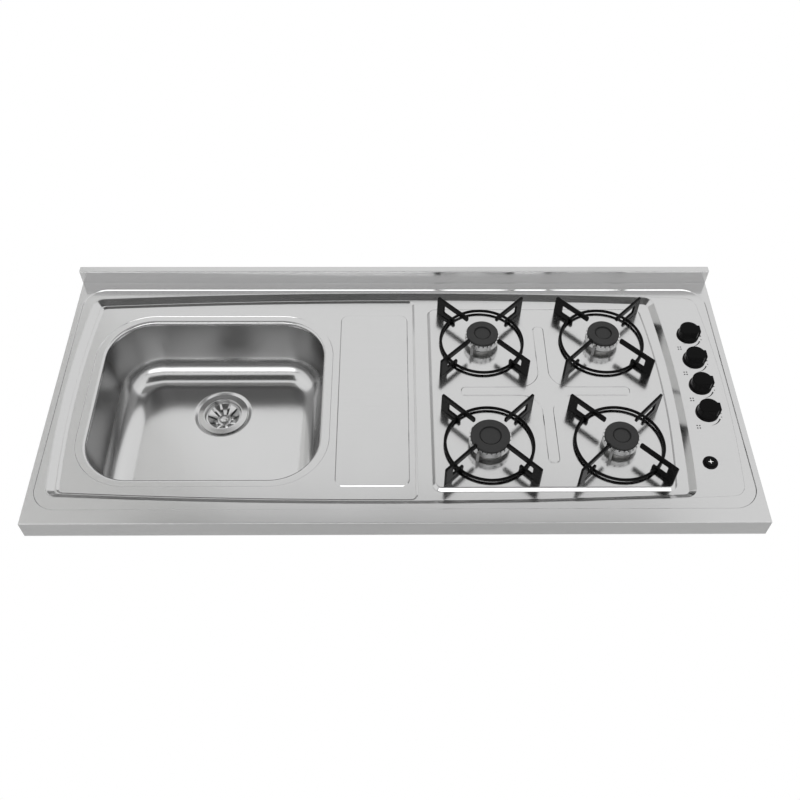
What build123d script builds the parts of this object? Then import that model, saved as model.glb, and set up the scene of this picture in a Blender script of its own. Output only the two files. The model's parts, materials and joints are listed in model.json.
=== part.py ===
"""Stainless worktop with a welded sink bowl, a drainboard and a four-burner gas hob.

Millimetres. The origin is the middle of the seat: the underside of the folded return flange
that lies on the cabinet. +X is to the right, +Y to the wall and +Z up.
"""

from build123d import *
from collections import namedtuple
from math import cos, radians, sin, sqrt, tan
import os

# Worktop sheet, and its length from left to right: sink, drainboard, hob and control panel
end_margin = 18.0
sink_margin = 34.75
board_gap = 11.65
step_gap = 13.4
plateau_gap = 23.7
plateau_width = 403.0
panel_gap = 40.0
panel_width = 79.0
depth = 547.0
sheet = 0.8
skirt = 38.0
bend_radius = 3.0
return_flange = 14.0
upstand_height = 31.0
upstand_depth = 14.0

# Border bead: a rounded rectangle where the border steps down
bead_margin = 10.0
bead_depth = 490.0
bead_radius = 42.0
bead_drop = 1.8
bead_y = -2.5

# Barrel outline round the sink, the hob and the control panel
barrel_half_depth = 236.7
barrel_side_bow = 12.0
barrel_long_bow = 15.5
barrel_drop = 0.5
barrel_radius = 22.0
barrel_y = -0.8

# Recess: the hob deck on the right and the lower sink deck on the left
recess_slope = 53.0
recess_inset = 1.5
recess_radius = 20.0
hob_drop = 8.2
step_drop = 3.0
step_inset = 0.6
step_radius = 12.0
panel_edge_bow = 12.0

# Raised fields and embosses
press_slope = 45.0
drainboard_width = 125.0
drainboard_depth = 383.0
drainboard_y = -5.0
drainboard_rise = 1.6
drainboard_radius = 15.0
plateau_bow = 14.0
plateau_front = -208.5
plateau_back = 199.5
plateau_rise = 5.0
plateau_radius = 15.0
cross_inset = 205.2
cross_y = -2.5
cross_length_x = 299.0
cross_length_y = 306.0
cross_arm = 20.0
cross_end_radius = 8.0
cross_corner_radius = 36.0
cross_rise = 0.7

# Sink bowl
bowl_y = -4.5
bowl_width = 397.0
bowl_depth_y = 350.0
bowl_radius = 82.0
bowl_draft = 4.0
bowl_floor_radius = 46.0
bowl_drop = 136.0
ledge_width = 433.5
ledge_depth_y = 381.0
ledge_radius = 99.0
ledge_drop = 1.2
lip_radius = 5.0
lip_drop = 9.0

# Drain
drain_back = 62.0
drain_recess_radius = 54.0
drain_recess_drop = 2.4
drain_flange_radius = 47.0
drain_flange_rise = 2.0
drain_bore = 34.5
drain_wall = 2.2
drain_hole_clearance = 0.8
drain_thread_clearance = 0.15
drain_cup_drop = 42.0
drain_seal_height = 1.2
drain_seal_inset = 2.0
drain_gasket_width = 13.0
drain_gasket_height = 3.0
drain_locknut_width = 9.0
drain_locknut_height = 10.0
drain_locknut_lugs = 6
drain_locknut_lug = 7.0
drain_outlet_radius = 23.9
drain_outlet_wall = 3.0
drain_outlet_length = 30.0
basket_clearance = 0.4
basket_wall = 1.2
basket_depth = 13.0
basket_floor_radius = 14.0
basket_ledge = 3.0
basket_ledge_drop = 9.0
basket_petals = 10
basket_slot = 3.6
basket_hub_radius = 9.0
basket_hub_height = 7.0

# Burners: places of the four centres and the two head sizes
burner_inset_left = 98.1
burner_inset_right = 84.4
burner_y_front = -117.7
burner_y_rear = 111.7
cap_radius_small = 28.7
cap_radius_large = 33.4
cap_recess_small = 15.5
cap_recess_large = 18.9
cap_height = 4.2
cap_recess_depth = 2.2
cap_edge_radius = 1.2
cap_register = 3.0
cap_register_wall = 2.0
crown_overhang = 2.0
crown_height = 13.8
crown_wall = 3.2
crown_floor = 3.0
crown_port_width = 1.8
crown_port_height = 4.2
small_crown_ports = 24
large_crown_ports = 28
crown_spigot = 4.0
crown_spigot_wall = 2.0
venturi_radius = 9.0
venturi_wall = 1.5
venturi_drop = 14.0
cup_rise = 9.8
cup_seat = 3.0
cup_body_small = 21.0
cup_body_large = 24.0
cup_wall = 1.6
cup_drop = 20.0
cup_hole_clearance = 0.6
seat_clearance = 0.3
injector_block = 18.0
injector_block_height = 16.0
injector_radius = 4.0
injector_hex = 9.0
hex_sides = 6
injector_head = 5.0
injector_orifice = 0.8
injector_clearance = 0.1
air_windows = 3
air_window_angle = 45.0
air_window_rise = 8.0
air_window_height = 7.0
air_window_width = 16.0

# Spark electrodes
electrode_angle = 235.0
electrode_gap = 3.2
electrode_radius = 2.5
electrode_rise = 21.0
electrode_drop = 24.0
electrode_collar_radius = 4.5
electrode_collar_height = 4.0
electrode_pin_radius = 1.0
electrode_pin_rise = 4.0
electrode_pin_tail = 6.0
electrode_pin_clearance = 0.05
electrode_hole_clearance = 0.4

# Trivets
trivet_fingers = 4
trivet_turn = 45.0
trivet_height = 40.0
trivet_reach = 110.5
trivet_tip = 36.0
trivet_plate = 4.5
trivet_leg = 16.5
trivet_bar = 10.5
trivet_base = 10.0
trivet_nub = 67.0
trivet_foot = 13.0
trivet_foot_rise = 1.0
trivet_ring_inner = 71.5
trivet_ring_outer = 79.5
trivet_ring_height = 8.0
trivet_ring_lip = 3.0
trivet_ring_foot = 3.5
trivet_ring_rise = 0.6
trivet_ring_edge = 2.0
trivet_round = 2.0

# Controls: four knobs on stems over gas valves, and an igniter button
knob_inset = 43.4
knob_y_rear = 121.8
knob_pitch = 59.5
knob_count = 4
knob_radius = 20.2
knob_skirt = 6.0
knob_height = 19.5
knob_grip_half = 12.0
knob_grip_radius = 17.5
knob_pointer = 2.3
knob_pointer_half = 8.5
knob_edge = 1.0
knob_corner = 1.6
knob_gap = 4.0
knob_socket_wall = 6.0
knob_socket_depth = 11.0
knob_wall = 2.5
stem_radius = 3.0
stem_hole = 6.0
stem_clearance = 0.05
stem_flat = 2.2
stem_engagement = 9.0
stem_spare = 4.5
stem_neck_clearance = 0.5
stem_push = 3.0
plug_radius = 6.0
plug_clearance = 0.05
plug_length = 20.0
plug_float = 0.1
plug_port_angle = 45.0
valve_radius = 11.0
valve_neck_radius = 7.5
valve_neck = 11.0
valve_plate_x = 26.0
valve_plate_y = 40.0
valve_plate = 2.5
valve_outlet_radius = 6.5
valve_outlet_reach = 20.0
valve_floor = 14.0

button_inset = 57.0
button_y = -157.6
button_radius = 9.6
button_rise = 3.6
button_travel = 2.5
button_clearance = 0.25
button_bezel_radius = 12.6
button_bezel_rise = 2.4
switch_radius = 11.0
switch_drop = 26.0
switch_wall = 1.2
switch_clearance = 0.4
switch_nut_radius = 15.0
switch_nut = 4.0
button_length = 17.6
button_edge = 0.8

# Gas line
manifold_radius = 8.0
manifold_bore = 6.0
manifold_flat = 1.5
manifold_wall = 4.0
manifold_front_run = 40.0
tube_radius = 3.0
tube_bore = 2.0
tube_bend = 22.0
tube_jog = 40.0
inlet_thread_radius = 10.48
inlet_thread_length = 16.0
inlet_flange_radius = 15.0
inlet_flange = 5.0
inlet_clearance = 0.3

# Hob tray
tray_sheet = 0.8
tray_floor_z = -40.0
tray_overlap = 1.0
tray_inset = 16.0
tray_front = -209.5
tray_back = 200.5
tray_flange = 6.5
tray_flange_inset = 43.0
tray_side_flange = 12.0
tray_radius = 6.0
vent_slots = 7
vent_length = 44.0
vent_width = 6.0
vent_pitch = 56.0

# Ignition
generator_inset = 114.0
generator_y = -141.5
generator_length = 62.0
generator_depth = 40.0
generator_height = 36.0
generator_radius = 3.0
terminal_radius = 3.0
terminal_length = 5.0
terminal_pitch = 8.0
terminal_z = -8.0
lead_radius = 1.6
lead_bend = 7.0
lead_sweep = 18.0
lead_run = 20.0
lead_ease = 40.0
lead_cross_y = 30.0
gland_inset = 84.0
gland_z = -14.0
gland_radius = 8.0
gland_flange_radius = 11.0
gland_flange = 2.5
gland_bore = 3.6
gland_length = 12.0

# Places along the length that follow from the sizes above
sink_length = end_margin + sink_margin + ledge_width + board_gap + drainboard_width + step_gap
width = sink_length + plateau_gap + plateau_width + panel_gap + panel_width + end_margin
bead_width = width - 2 * bead_margin
barrel_half_width = width / 2 - end_margin
bowl_x = sink_margin + ledge_width / 2 - barrel_half_width
step_x = sink_length - width / 2
drainboard_x = step_x - step_gap - drainboard_width / 2
plateau_left = step_x + plateau_gap
plateau_right = plateau_left + plateau_width
panel_edge_x = plateau_right + panel_gap
cross_x = plateau_left + cross_inset
burner_x_left = plateau_left + burner_inset_left
burner_x_right = plateau_right - burner_inset_right
knob_x = barrel_half_width - knob_inset
button_x = barrel_half_width - button_inset
tray_left = plateau_left - tray_overlap
tray_right = barrel_half_width - tray_inset
tray_flange_end = plateau_right - tray_flange_inset
generator_x = tray_right - generator_inset
gland_x = tray_right - gland_inset

# Levels that follow from the sizes above
field_z = skirt - bead_drop
panel_z = field_z - barrel_drop
hob_z = panel_z - hob_drop
sink_z = hob_z - step_drop
plateau_z = hob_z + plateau_rise
ledge_z = sink_z - ledge_drop
lip_z = ledge_z - lip_drop
floor_z = sink_z - bowl_drop
drain_x = bowl_x
drain_y = bowl_y + drain_back
drain_seat_z = floor_z - drain_recess_drop
drain_top_z = drain_seat_z + drain_seal_height + drain_flange_rise
crown_z = plateau_z + cup_rise
cap_z = crown_z + crown_height
panel_under_z = panel_z - sheet
valve_top_z = panel_under_z - valve_plate
plug_top_z = valve_top_z - valve_neck
plug_floor_z = plug_top_z - plug_length
manifold_top_z = plug_floor_z - valve_floor
manifold_z = manifold_top_z + manifold_flat - manifold_radius
cup_floor_z = plateau_z - cup_drop
tube_z = cup_floor_z - injector_block_height / 2

Burner = namedtuple("Burner", "x y cap recess body ports")
small = (cap_radius_small, cap_recess_small, cup_body_small, small_crown_ports)
large = (cap_radius_large, cap_recess_large, cup_body_large, large_crown_ports)
burners = {
    "rear_right": Burner(burner_x_right, burner_y_rear, *small),
    "rear_left": Burner(burner_x_left, burner_y_rear, *small),
    "front_left": Burner(burner_x_left, burner_y_front, *large),
    "front_right": Burner(burner_x_right, burner_y_front, *small),
}
knob_ys = [knob_y_rear - knob_pitch * i for i in range(knob_count)]

os.makedirs("parts", exist_ok=True)


def save(piece, name):
    """Label a finished piece and write it as its own file."""
    piece.part.label = name
    export_step(piece.part, f"parts/{name}.step")


def bow_at(x, half_chord, bow):
    """How far a bowed edge has fallen back at distance x from its middle."""
    radius = (half_chord**2 + bow**2) / (2 * bow)
    return radius - sqrt(radius**2 - x**2)


def long_edge(x):
    """Half depth of the barrel outline at x."""
    return barrel_half_depth - bow_at(x, barrel_half_width - barrel_side_bow, barrel_long_bow)


def bowed_outline(left, left_bow, right, right_bow, radius, inset=0):
    """Sketch between two sides, closed in front and behind by the barrel's long edges less an inset."""
    middle = (left + right) / 2
    with BuildSketch() as outline:
        with BuildLine():
            for side in (1, -1):
                ThreePointArc(
                    (left, barrel_y + side * (long_edge(left) - inset)),
                    (middle, barrel_y + side * (long_edge(middle) - inset)),
                    (right, barrel_y + side * (long_edge(right) - inset)),
                )
            for end, bow in ((left, -left_bow), (right, right_bow)):
                corner = (end, barrel_y + long_edge(end) - inset)
                opposite = (end, barrel_y - long_edge(end) + inset)
                if bow:
                    ThreePointArc(corner, (end + bow, barrel_y), opposite)
                else:
                    Line(corner, opposite)
        make_face()
        fillet(outline.vertices(), radius)
    return outline.sketch


def barrel_outline():
    """Whole barrel: sink, hob and control panel."""
    end = barrel_half_width - barrel_side_bow
    return bowed_outline(-end, barrel_side_bow, end, barrel_side_bow, barrel_radius)


def recess_outline():
    """Recess of sink and hob together, up to the control panel's bowed edge."""
    left = barrel_side_bow - barrel_half_width + recess_inset
    right = panel_edge_x - panel_edge_bow
    return bowed_outline(left, barrel_side_bow, right, panel_edge_bow, recess_radius, recess_inset)


def sink_outline():
    """Deeper part of the recess, left of the step line between sink and hob."""
    inset = recess_inset + hob_drop * tan(radians(recess_slope)) + step_inset
    left = barrel_side_bow - barrel_half_width + inset
    return bowed_outline(left, barrel_side_bow, step_x, 0, step_radius, inset)


def plateau_outline():
    """Hob plateau with a bowed right edge."""
    middle = (plateau_front + plateau_back) / 2
    with BuildSketch() as outline:
        with BuildLine():
            Polyline(
                (plateau_right, plateau_back),
                (plateau_left, plateau_back),
                (plateau_left, plateau_front),
                (plateau_right, plateau_front),
            )
            ThreePointArc(
                (plateau_right, plateau_front),
                (plateau_right + plateau_bow, middle),
                (plateau_right, plateau_back),
            )
        make_face()
        fillet(outline.vertices(), plateau_radius)
    return outline.sketch


def cross_outline():
    """Stiffening cross between the burners, with round ends and hollow inner corners."""
    with BuildSketch() as outline:
        with Locations((cross_x, cross_y)):
            Rectangle(cross_length_x, cross_arm)
            Rectangle(cross_arm, cross_length_y)
        inner = outline.vertices().sort_by_distance((cross_x, cross_y))[:4]
        fillet(inner, cross_corner_radius)
        tips = outline.vertices().sort_by_distance((cross_x, cross_y))[-8:]
        fillet(tips, cross_end_radius)
    return outline.sketch


def pressed_block(drop):
    """Solid bounded above by the worktop's face, moved down and in by drop."""
    with BuildPart() as block:
        with BuildSketch(Plane.XY.offset(-drop)):
            Rectangle(width - 2 * drop, depth - 2 * drop)
        extrude(amount=skirt)
        rim = block.faces().sort_by(Axis.Z)[-1].edges().sort_by(Axis.Y)[:-1]
        fillet(rim, bend_radius - drop)
        with BuildSketch(Plane.XY.offset(-drop)):
            with Locations((0, (depth - upstand_depth) / 2)):
                Rectangle(width - 2 * drop, upstand_depth - 2 * drop)
        extrude(amount=skirt + upstand_height)
        with BuildSketch(Plane.XY.offset(skirt - drop)):
            with Locations((0, bead_y)):
                RectangleRounded(bead_width, bead_depth, bead_radius)
        extrude(amount=-bead_drop, taper=press_slope, mode=Mode.SUBTRACT)
        with BuildSketch(Plane.XY.offset(field_z - drop)):
            add(barrel_outline())
        extrude(amount=-barrel_drop, mode=Mode.SUBTRACT)
        with BuildSketch(Plane.XY.offset(panel_z - drop)):
            add(recess_outline())
        extrude(amount=-hob_drop, taper=recess_slope, mode=Mode.SUBTRACT)
        with BuildSketch(Plane.XY.offset(hob_z - drop)):
            add(sink_outline())
        extrude(amount=-step_drop, taper=recess_slope, mode=Mode.SUBTRACT)
        with BuildSketch(Plane.XY.offset(sink_z - drop)):
            with Locations((drainboard_x, drainboard_y)):
                RectangleRounded(drainboard_width, drainboard_depth, drainboard_radius)
        extrude(amount=drainboard_rise, taper=press_slope)
        with BuildSketch(Plane.XY.offset(hob_z - drop)):
            add(plateau_outline())
        extrude(amount=plateau_rise, taper=press_slope)
        with BuildSketch(Plane.XY.offset(plateau_z - drop)):
            add(cross_outline())
        extrude(amount=cross_rise, taper=press_slope)
        with BuildSketch(Plane.XY.offset(sink_z - drop)):
            with Locations((bowl_x, bowl_y)):
                RectangleRounded(ledge_width, ledge_depth_y, ledge_radius)
        extrude(amount=-ledge_drop, taper=press_slope, mode=Mode.SUBTRACT)
        with BuildSketch(Plane.XY.offset(ledge_z - drop)):
            with Locations((bowl_x, bowl_y)):
                RectangleRounded(bowl_width + 2 * drop, bowl_depth_y + 2 * drop, bowl_radius + drop)
        extrude(amount=-skirt, mode=Mode.SUBTRACT)
        mouth = block.edges(Select.LAST).group_by(Axis.Z)[-1]
        fillet(mouth, lip_radius - drop)
    return block.part


face_block = pressed_block(0)
under_block = pressed_block(sheet)


def electrode_place(burner):
    """Centre of the spark electrode beside a burner."""
    reach = burner.cap + crown_overhang + electrode_gap
    angle = radians(electrode_angle)
    return burner.x + reach * cos(angle), burner.y + reach * sin(angle)


def upright(x, y):
    """Upright axis through a point of the plan."""
    return Axis((x, y, 0), (0, 0, 1))


def section(x, y, *points):
    """Half section of a turned piece, as (radius, height) points about the upright axis at x, y."""
    with BuildSketch(Plane((x, y, 0), x_dir=(1, 0, 0), z_dir=(0, -1, 0))) as half:
        with BuildLine():
            Polyline(*points, close=True)
        make_face()
    return half.sketch


def shaft_section(radius, flat, z, x, y):
    """Round shaft section with one flat, at height z."""
    with BuildSketch(Plane.XY.offset(z)) as end:
        with Locations((x, y)):
            Circle(radius)
            with Locations((flat + radius, 0)):
                Rectangle(2 * radius, 2 * radius, mode=Mode.SUBTRACT)
    return end.sketch


with BuildPart() as top_sheet:
    add(face_block)
    add(under_block, mode=Mode.SUBTRACT)
    with BuildSketch(Plane.XY):
        Rectangle(width, depth)
        Rectangle(width - 2 * return_flange, depth - 2 * return_flange, mode=Mode.SUBTRACT)
    extrude(amount=sheet)
    with BuildSketch(Plane.XY.offset(lip_z)):
        with Locations((bowl_x, bowl_y)):
            Rectangle(ledge_width, ledge_depth_y)
    extrude(amount=-skirt, mode=Mode.SUBTRACT)
    with BuildSketch(Plane.XY.offset(skirt)):
        for burner in burners.values():
            with Locations((burner.x, burner.y)):
                Circle(burner.body + cup_hole_clearance)
            with Locations(electrode_place(burner)):
                Circle(electrode_radius + electrode_hole_clearance)
        with Locations(*[(knob_x, y) for y in knob_ys]):
            Circle(stem_hole)
        with Locations((button_x, button_y)):
            Circle(switch_radius + switch_clearance)
    extrude(amount=-skirt, mode=Mode.SUBTRACT)
save(top_sheet, "top_sheet")


def bowl_block(grow):
    """Inside of the bowl grown by a wall: drafted sides, rounded floor edge and drain recess."""
    with BuildPart() as block:
        with BuildSketch(Plane.XY.offset(lip_z)):
            with Locations((bowl_x, bowl_y)):
                RectangleRounded(bowl_width + 2 * grow, bowl_depth_y + 2 * grow, bowl_radius + grow)
        extrude(amount=floor_z - grow - lip_z, taper=bowl_draft)
        fillet(block.faces().sort_by(Axis.Z)[0].edges(), bowl_floor_radius + grow)
        with BuildSketch(Plane.XY.offset(floor_z - grow)):
            with Locations((drain_x, drain_y)):
                Circle(drain_recess_radius + grow)
        extrude(amount=-drain_recess_drop, taper=press_slope)
    return block.part


bowl_inside = bowl_block(0)
bowl_outside = bowl_block(sheet)
drain_axis = upright(drain_x, drain_y)
drain_body_radius = drain_bore + drain_wall

with BuildPart() as sink_bowl:
    add(bowl_outside)
    add(bowl_inside, mode=Mode.SUBTRACT)
    with BuildSketch(Plane.XY.offset(drain_seat_z)):
        with Locations((drain_x, drain_y)):
            Circle(drain_body_radius + drain_hole_clearance)
    extrude(amount=sheet, both=True, mode=Mode.SUBTRACT)
save(sink_bowl, "sink_bowl")

# Drain: cup with a flange over the bowl floor, clamped from below
flange_under_z = drain_seat_z + drain_seal_height
cup_bottom_z = drain_top_z - drain_cup_drop
outlet_bottom_z = cup_bottom_z - drain_outlet_length
outlet_bore = drain_outlet_radius - drain_outlet_wall
basket_seat_z = drain_top_z - basket_ledge_drop

with BuildPart() as drain_body:
    profile = section(
        drain_x,
        drain_y,
        (drain_bore, drain_top_z),
        (drain_bore + drain_wall, drain_top_z),
        (drain_flange_radius, drain_top_z - drain_flange_rise / 2),
        (drain_flange_radius, flange_under_z),
        (drain_body_radius, flange_under_z),
        (drain_body_radius, cup_bottom_z),
        (drain_outlet_radius, cup_bottom_z),
        (drain_outlet_radius, outlet_bottom_z),
        (outlet_bore, outlet_bottom_z),
        (outlet_bore, cup_bottom_z + drain_wall),
        (drain_bore - basket_ledge, cup_bottom_z + drain_wall + basket_ledge),
        (drain_bore - basket_ledge, basket_seat_z),
        (drain_bore, basket_seat_z),
    )
    revolve(profile, axis=drain_axis)
save(drain_body, "drain_body")


def ring(inner, outer, bottom, top):
    """Half section of a plain ring round the drain."""
    return section(drain_x, drain_y, (inner, bottom), (outer, bottom), (outer, top), (inner, top))


clamp_bore = drain_body_radius + drain_thread_clearance
gasket_top_z = drain_seat_z - sheet
locknut_top_z = gasket_top_z - drain_gasket_height

with BuildPart() as drain_seal:
    revolve(ring(clamp_bore, drain_flange_radius - drain_seal_inset, drain_seat_z, flange_under_z), axis=drain_axis)
save(drain_seal, "drain_seal")

with BuildPart() as drain_gasket:
    revolve(ring(clamp_bore, clamp_bore + drain_gasket_width, locknut_top_z, gasket_top_z), axis=drain_axis)
save(drain_gasket, "drain_gasket")

with BuildPart() as drain_locknut:
    bottom = locknut_top_z - drain_locknut_height
    revolve(ring(clamp_bore, clamp_bore + drain_locknut_width, bottom, locknut_top_z), axis=drain_axis)
    with BuildSketch(Plane.XY.offset(bottom)):
        with Locations((drain_x, drain_y)):
            with PolarLocations(clamp_bore + drain_locknut_width, drain_locknut_lugs):
                Rectangle(drain_locknut_lug, drain_locknut_lug)
    extrude(amount=drain_locknut_height)
save(drain_locknut, "drain_locknut")

with BuildPart() as drain_basket:
    rim = drain_bore - basket_clearance
    dish = drain_bore - basket_ledge - basket_clearance
    floor = basket_seat_z - basket_depth
    profile = section(
        drain_x,
        drain_y,
        (0, floor),
        (basket_floor_radius, floor),
        (dish, basket_seat_z),
        (rim, basket_seat_z),
        (rim, basket_seat_z + basket_wall),
        (dish - basket_wall, basket_seat_z + basket_wall),
        (basket_floor_radius - basket_wall, floor + basket_wall),
        (basket_hub_radius, floor + basket_wall),
        (basket_hub_radius, floor + basket_hub_height),
        (basket_hub_radius / 2, floor + basket_hub_height + basket_wall),
        (0, floor + basket_hub_height + basket_wall),
    )
    revolve(profile, axis=drain_axis)
    slot_length = dish - basket_floor_radius
    with BuildSketch(Plane.XY.offset(basket_seat_z + basket_wall)):
        with Locations((drain_x, drain_y)):
            with PolarLocations(dish - slot_length / 2, basket_petals):
                SlotOverall(slot_length, basket_slot)
    extrude(amount=-basket_depth - basket_wall, mode=Mode.SUBTRACT)
save(drain_basket, "drain_basket")

# Burners: cup through the sheet, crown with flame ports on it, cap on the crown
tube_feeds = {
    "rear_right": (1, 0),
    "rear_left": (0, -1),
    "front_left": (0, 1),
    "front_right": (0, 1),
}
half_block = injector_block / 2
injector_hole = injector_radius + injector_clearance

for name, burner in burners.items():
    x, y = burner.x, burner.y
    axis = upright(x, y)
    crown_radius = burner.cap + crown_overhang
    cup_bore = burner.body - cup_wall
    with BuildPart() as burner_cup:
        profile = section(
            x,
            y,
            (burner.body + cup_seat, plateau_z),
            (burner.body + cup_seat, crown_z),
            (cup_bore, crown_z),
            (cup_bore, cup_floor_z + cup_wall),
            (injector_hole, cup_floor_z + cup_wall),
            (injector_hole, cup_floor_z),
            (burner.body, cup_floor_z),
            (burner.body, plateau_z),
        )
        revolve(profile, axis=axis)
        with BuildSketch(Plane.XY.offset(cup_floor_z)):
            with Locations((x, y)):
                Rectangle(injector_block, injector_block)
                Circle(injector_hole, mode=Mode.SUBTRACT)
        extrude(amount=-injector_block_height / 2)
        with BuildSketch(Plane.XY.offset(tube_z)):
            with Locations((x, y)):
                Rectangle(injector_block, injector_block)
        extrude(amount=-injector_block_height / 2)
        feed = tube_feeds[name]
        gas_way = Plane((x, y, tube_z), z_dir=(feed[0], feed[1], 0))
        with BuildSketch(gas_way):
            Circle(tube_bore)
        extrude(amount=half_block, mode=Mode.SUBTRACT)
        for turn in range(air_windows):
            angle = radians(air_window_angle + 360 / air_windows * turn)
            outward = (cos(angle), sin(angle), 0)
            with BuildSketch(Plane((x, y, cup_floor_z + cup_wall + air_window_rise), z_dir=outward)):
                Rectangle(air_window_height, air_window_width)
            extrude(amount=burner.body, mode=Mode.SUBTRACT)
    save(burner_cup, f"burner_cup_{name}")

    spigot = cup_bore - seat_clearance
    chamber = crown_radius - crown_wall
    crown_top_z = crown_z + crown_height
    with BuildPart() as burner_crown:
        profile = section(
            x,
            y,
            (venturi_radius - venturi_wall, crown_z - venturi_drop),
            (venturi_radius, crown_z - venturi_drop),
            (venturi_radius, crown_z),
            (spigot - crown_spigot_wall, crown_z),
            (spigot - crown_spigot_wall, crown_z - crown_spigot),
            (spigot, crown_z - crown_spigot),
            (spigot, crown_z),
            (crown_radius, crown_z),
            (crown_radius, crown_top_z),
            (chamber, crown_top_z),
            (chamber, crown_z + crown_floor),
            (venturi_radius - venturi_wall, crown_z + crown_floor),
        )
        revolve(profile, axis=axis)
        with BuildSketch(Plane.XY.offset(crown_top_z)):
            with Locations((x, y)):
                with PolarLocations(crown_radius - crown_wall / 2, burner.ports):
                    Rectangle(2 * crown_wall, crown_port_width)
        extrude(amount=-crown_port_height, mode=Mode.SUBTRACT)
    save(burner_crown, f"burner_crown_{name}")

    with BuildPart() as burner_cap:
        register = chamber - seat_clearance
        profile = section(
            x,
            y,
            (0, cap_z),
            (register - cap_register_wall, cap_z),
            (register - cap_register_wall, cap_z - cap_register),
            (register, cap_z - cap_register),
            (register, cap_z),
            (burner.cap, cap_z),
            (burner.cap, cap_z + cap_height),
            (burner.recess, cap_z + cap_height),
            (burner.recess - cap_recess_depth, cap_z + cap_height - cap_recess_depth),
            (0, cap_z + cap_height - cap_recess_depth),
        )
        revolve(profile, axis=axis)
        rim = burner_cap.edges().filter_by(GeomType.CIRCLE).group_by(Axis.Z)[-1].sort_by(SortBy.RADIUS)[-1]
        fillet(rim, cap_edge_radius)
    save(burner_cap, f"burner_cap_{name}")

with BuildPart() as injectors:
    head_z = cup_floor_z + cup_wall
    for burner in burners.values():
        with BuildSketch(Plane.XY.offset(head_z)):
            with Locations((burner.x, burner.y)):
                RegularPolygon(injector_hex / 2, hex_sides, major_radius=False)
                Circle(injector_orifice, mode=Mode.SUBTRACT)
        extrude(amount=injector_head)
        with BuildSketch(Plane.XY.offset(head_z)):
            with Locations((burner.x, burner.y)):
                Circle(injector_radius)
                Circle(injector_orifice, mode=Mode.SUBTRACT)
        extrude(amount=tube_z - head_z)
save(injectors, "injectors")

# Spark electrodes: a ceramic with a collar under the sheet, and its steel pin
ceramic_top_z = plateau_z + electrode_rise
ceramic_bottom_z = plateau_z - electrode_drop
pin_bottom_z = ceramic_bottom_z - electrode_pin_tail
collar_top_z = plateau_z - sheet
pin_bore = electrode_pin_radius + electrode_pin_clearance

with BuildPart() as electrode_ceramics:
    for burner in burners.values():
        x, y = electrode_place(burner)
        profile = section(
            x,
            y,
            (pin_bore, ceramic_bottom_z),
            (electrode_radius, ceramic_bottom_z),
            (electrode_radius, collar_top_z - electrode_collar_height),
            (electrode_collar_radius, collar_top_z - electrode_collar_height),
            (electrode_collar_radius, collar_top_z),
            (electrode_radius, collar_top_z),
            (electrode_radius, ceramic_top_z),
            (pin_bore, ceramic_top_z),
        )
        revolve(profile, axis=upright(x, y))
save(electrode_ceramics, "electrode_ceramics")

with BuildPart() as electrode_pins:
    with BuildSketch(Plane.XY.offset(pin_bottom_z)):
        with Locations(*[electrode_place(burner) for burner in burners.values()]):
            Circle(electrode_pin_radius)
    extrude(amount=ceramic_top_z + electrode_pin_rise - pin_bottom_z)
save(electrode_pins, "electrode_pins")

# Trivets: a dished ring with four plate fingers, standing on the plateau
for name, burner in burners.items():
    x, y = burner.x, burner.y
    with BuildPart() as trivet:
        inner, outer = trivet_ring_inner, trivet_ring_outer
        profile = section(
            x,
            y,
            (inner, plateau_z + trivet_ring_height - trivet_ring_lip),
            (inner, plateau_z + trivet_ring_height),
            (inner + trivet_ring_lip, plateau_z + trivet_ring_height),
            (outer, plateau_z + trivet_ring_rise + trivet_ring_edge),
            (outer, plateau_z + trivet_ring_rise),
            (outer - trivet_ring_foot, plateau_z + trivet_ring_rise),
        )
        revolve(profile, axis=upright(x, y))
        for turn in range(trivet_fingers):
            angle = radians(trivet_turn + 360 / trivet_fingers * turn)
            side = Plane((x, y, plateau_z), x_dir=(cos(angle), sin(angle), 0), z_dir=(sin(angle), -cos(angle), 0))
            with BuildSketch(side) as finger:
                with BuildLine():
                    Polyline(
                        (trivet_reach, 0),
                        (trivet_reach, trivet_height),
                        (trivet_tip, trivet_height),
                        (trivet_tip, trivet_height - trivet_bar),
                        (trivet_reach - trivet_leg, trivet_height - trivet_bar),
                        (trivet_reach - trivet_leg, trivet_base),
                        (trivet_nub, trivet_base),
                        (trivet_nub, trivet_foot_rise),
                        (trivet_reach - trivet_foot, trivet_foot_rise),
                        (trivet_reach - trivet_foot, 0),
                        close=True,
                    )
                make_face()
                columns = finger.vertices().group_by(Axis.X)
                fillet(columns[0] + columns[1] + columns[-1].sort_by(Axis.Y)[-1:], trivet_round)
            extrude(amount=trivet_plate / 2, both=True)
    save(trivet, f"trivet_{name}")

# Controls: valve body under the panel, turning plug, sliding stem and the knob on it
knob_z = panel_z + knob_gap
stem_bottom_z = plug_top_z - stem_engagement
stem_top_z = knob_z + knob_socket_depth
stem_socket_z = stem_bottom_z - stem_spare
outlet_x = knob_x - valve_outlet_reach

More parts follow.
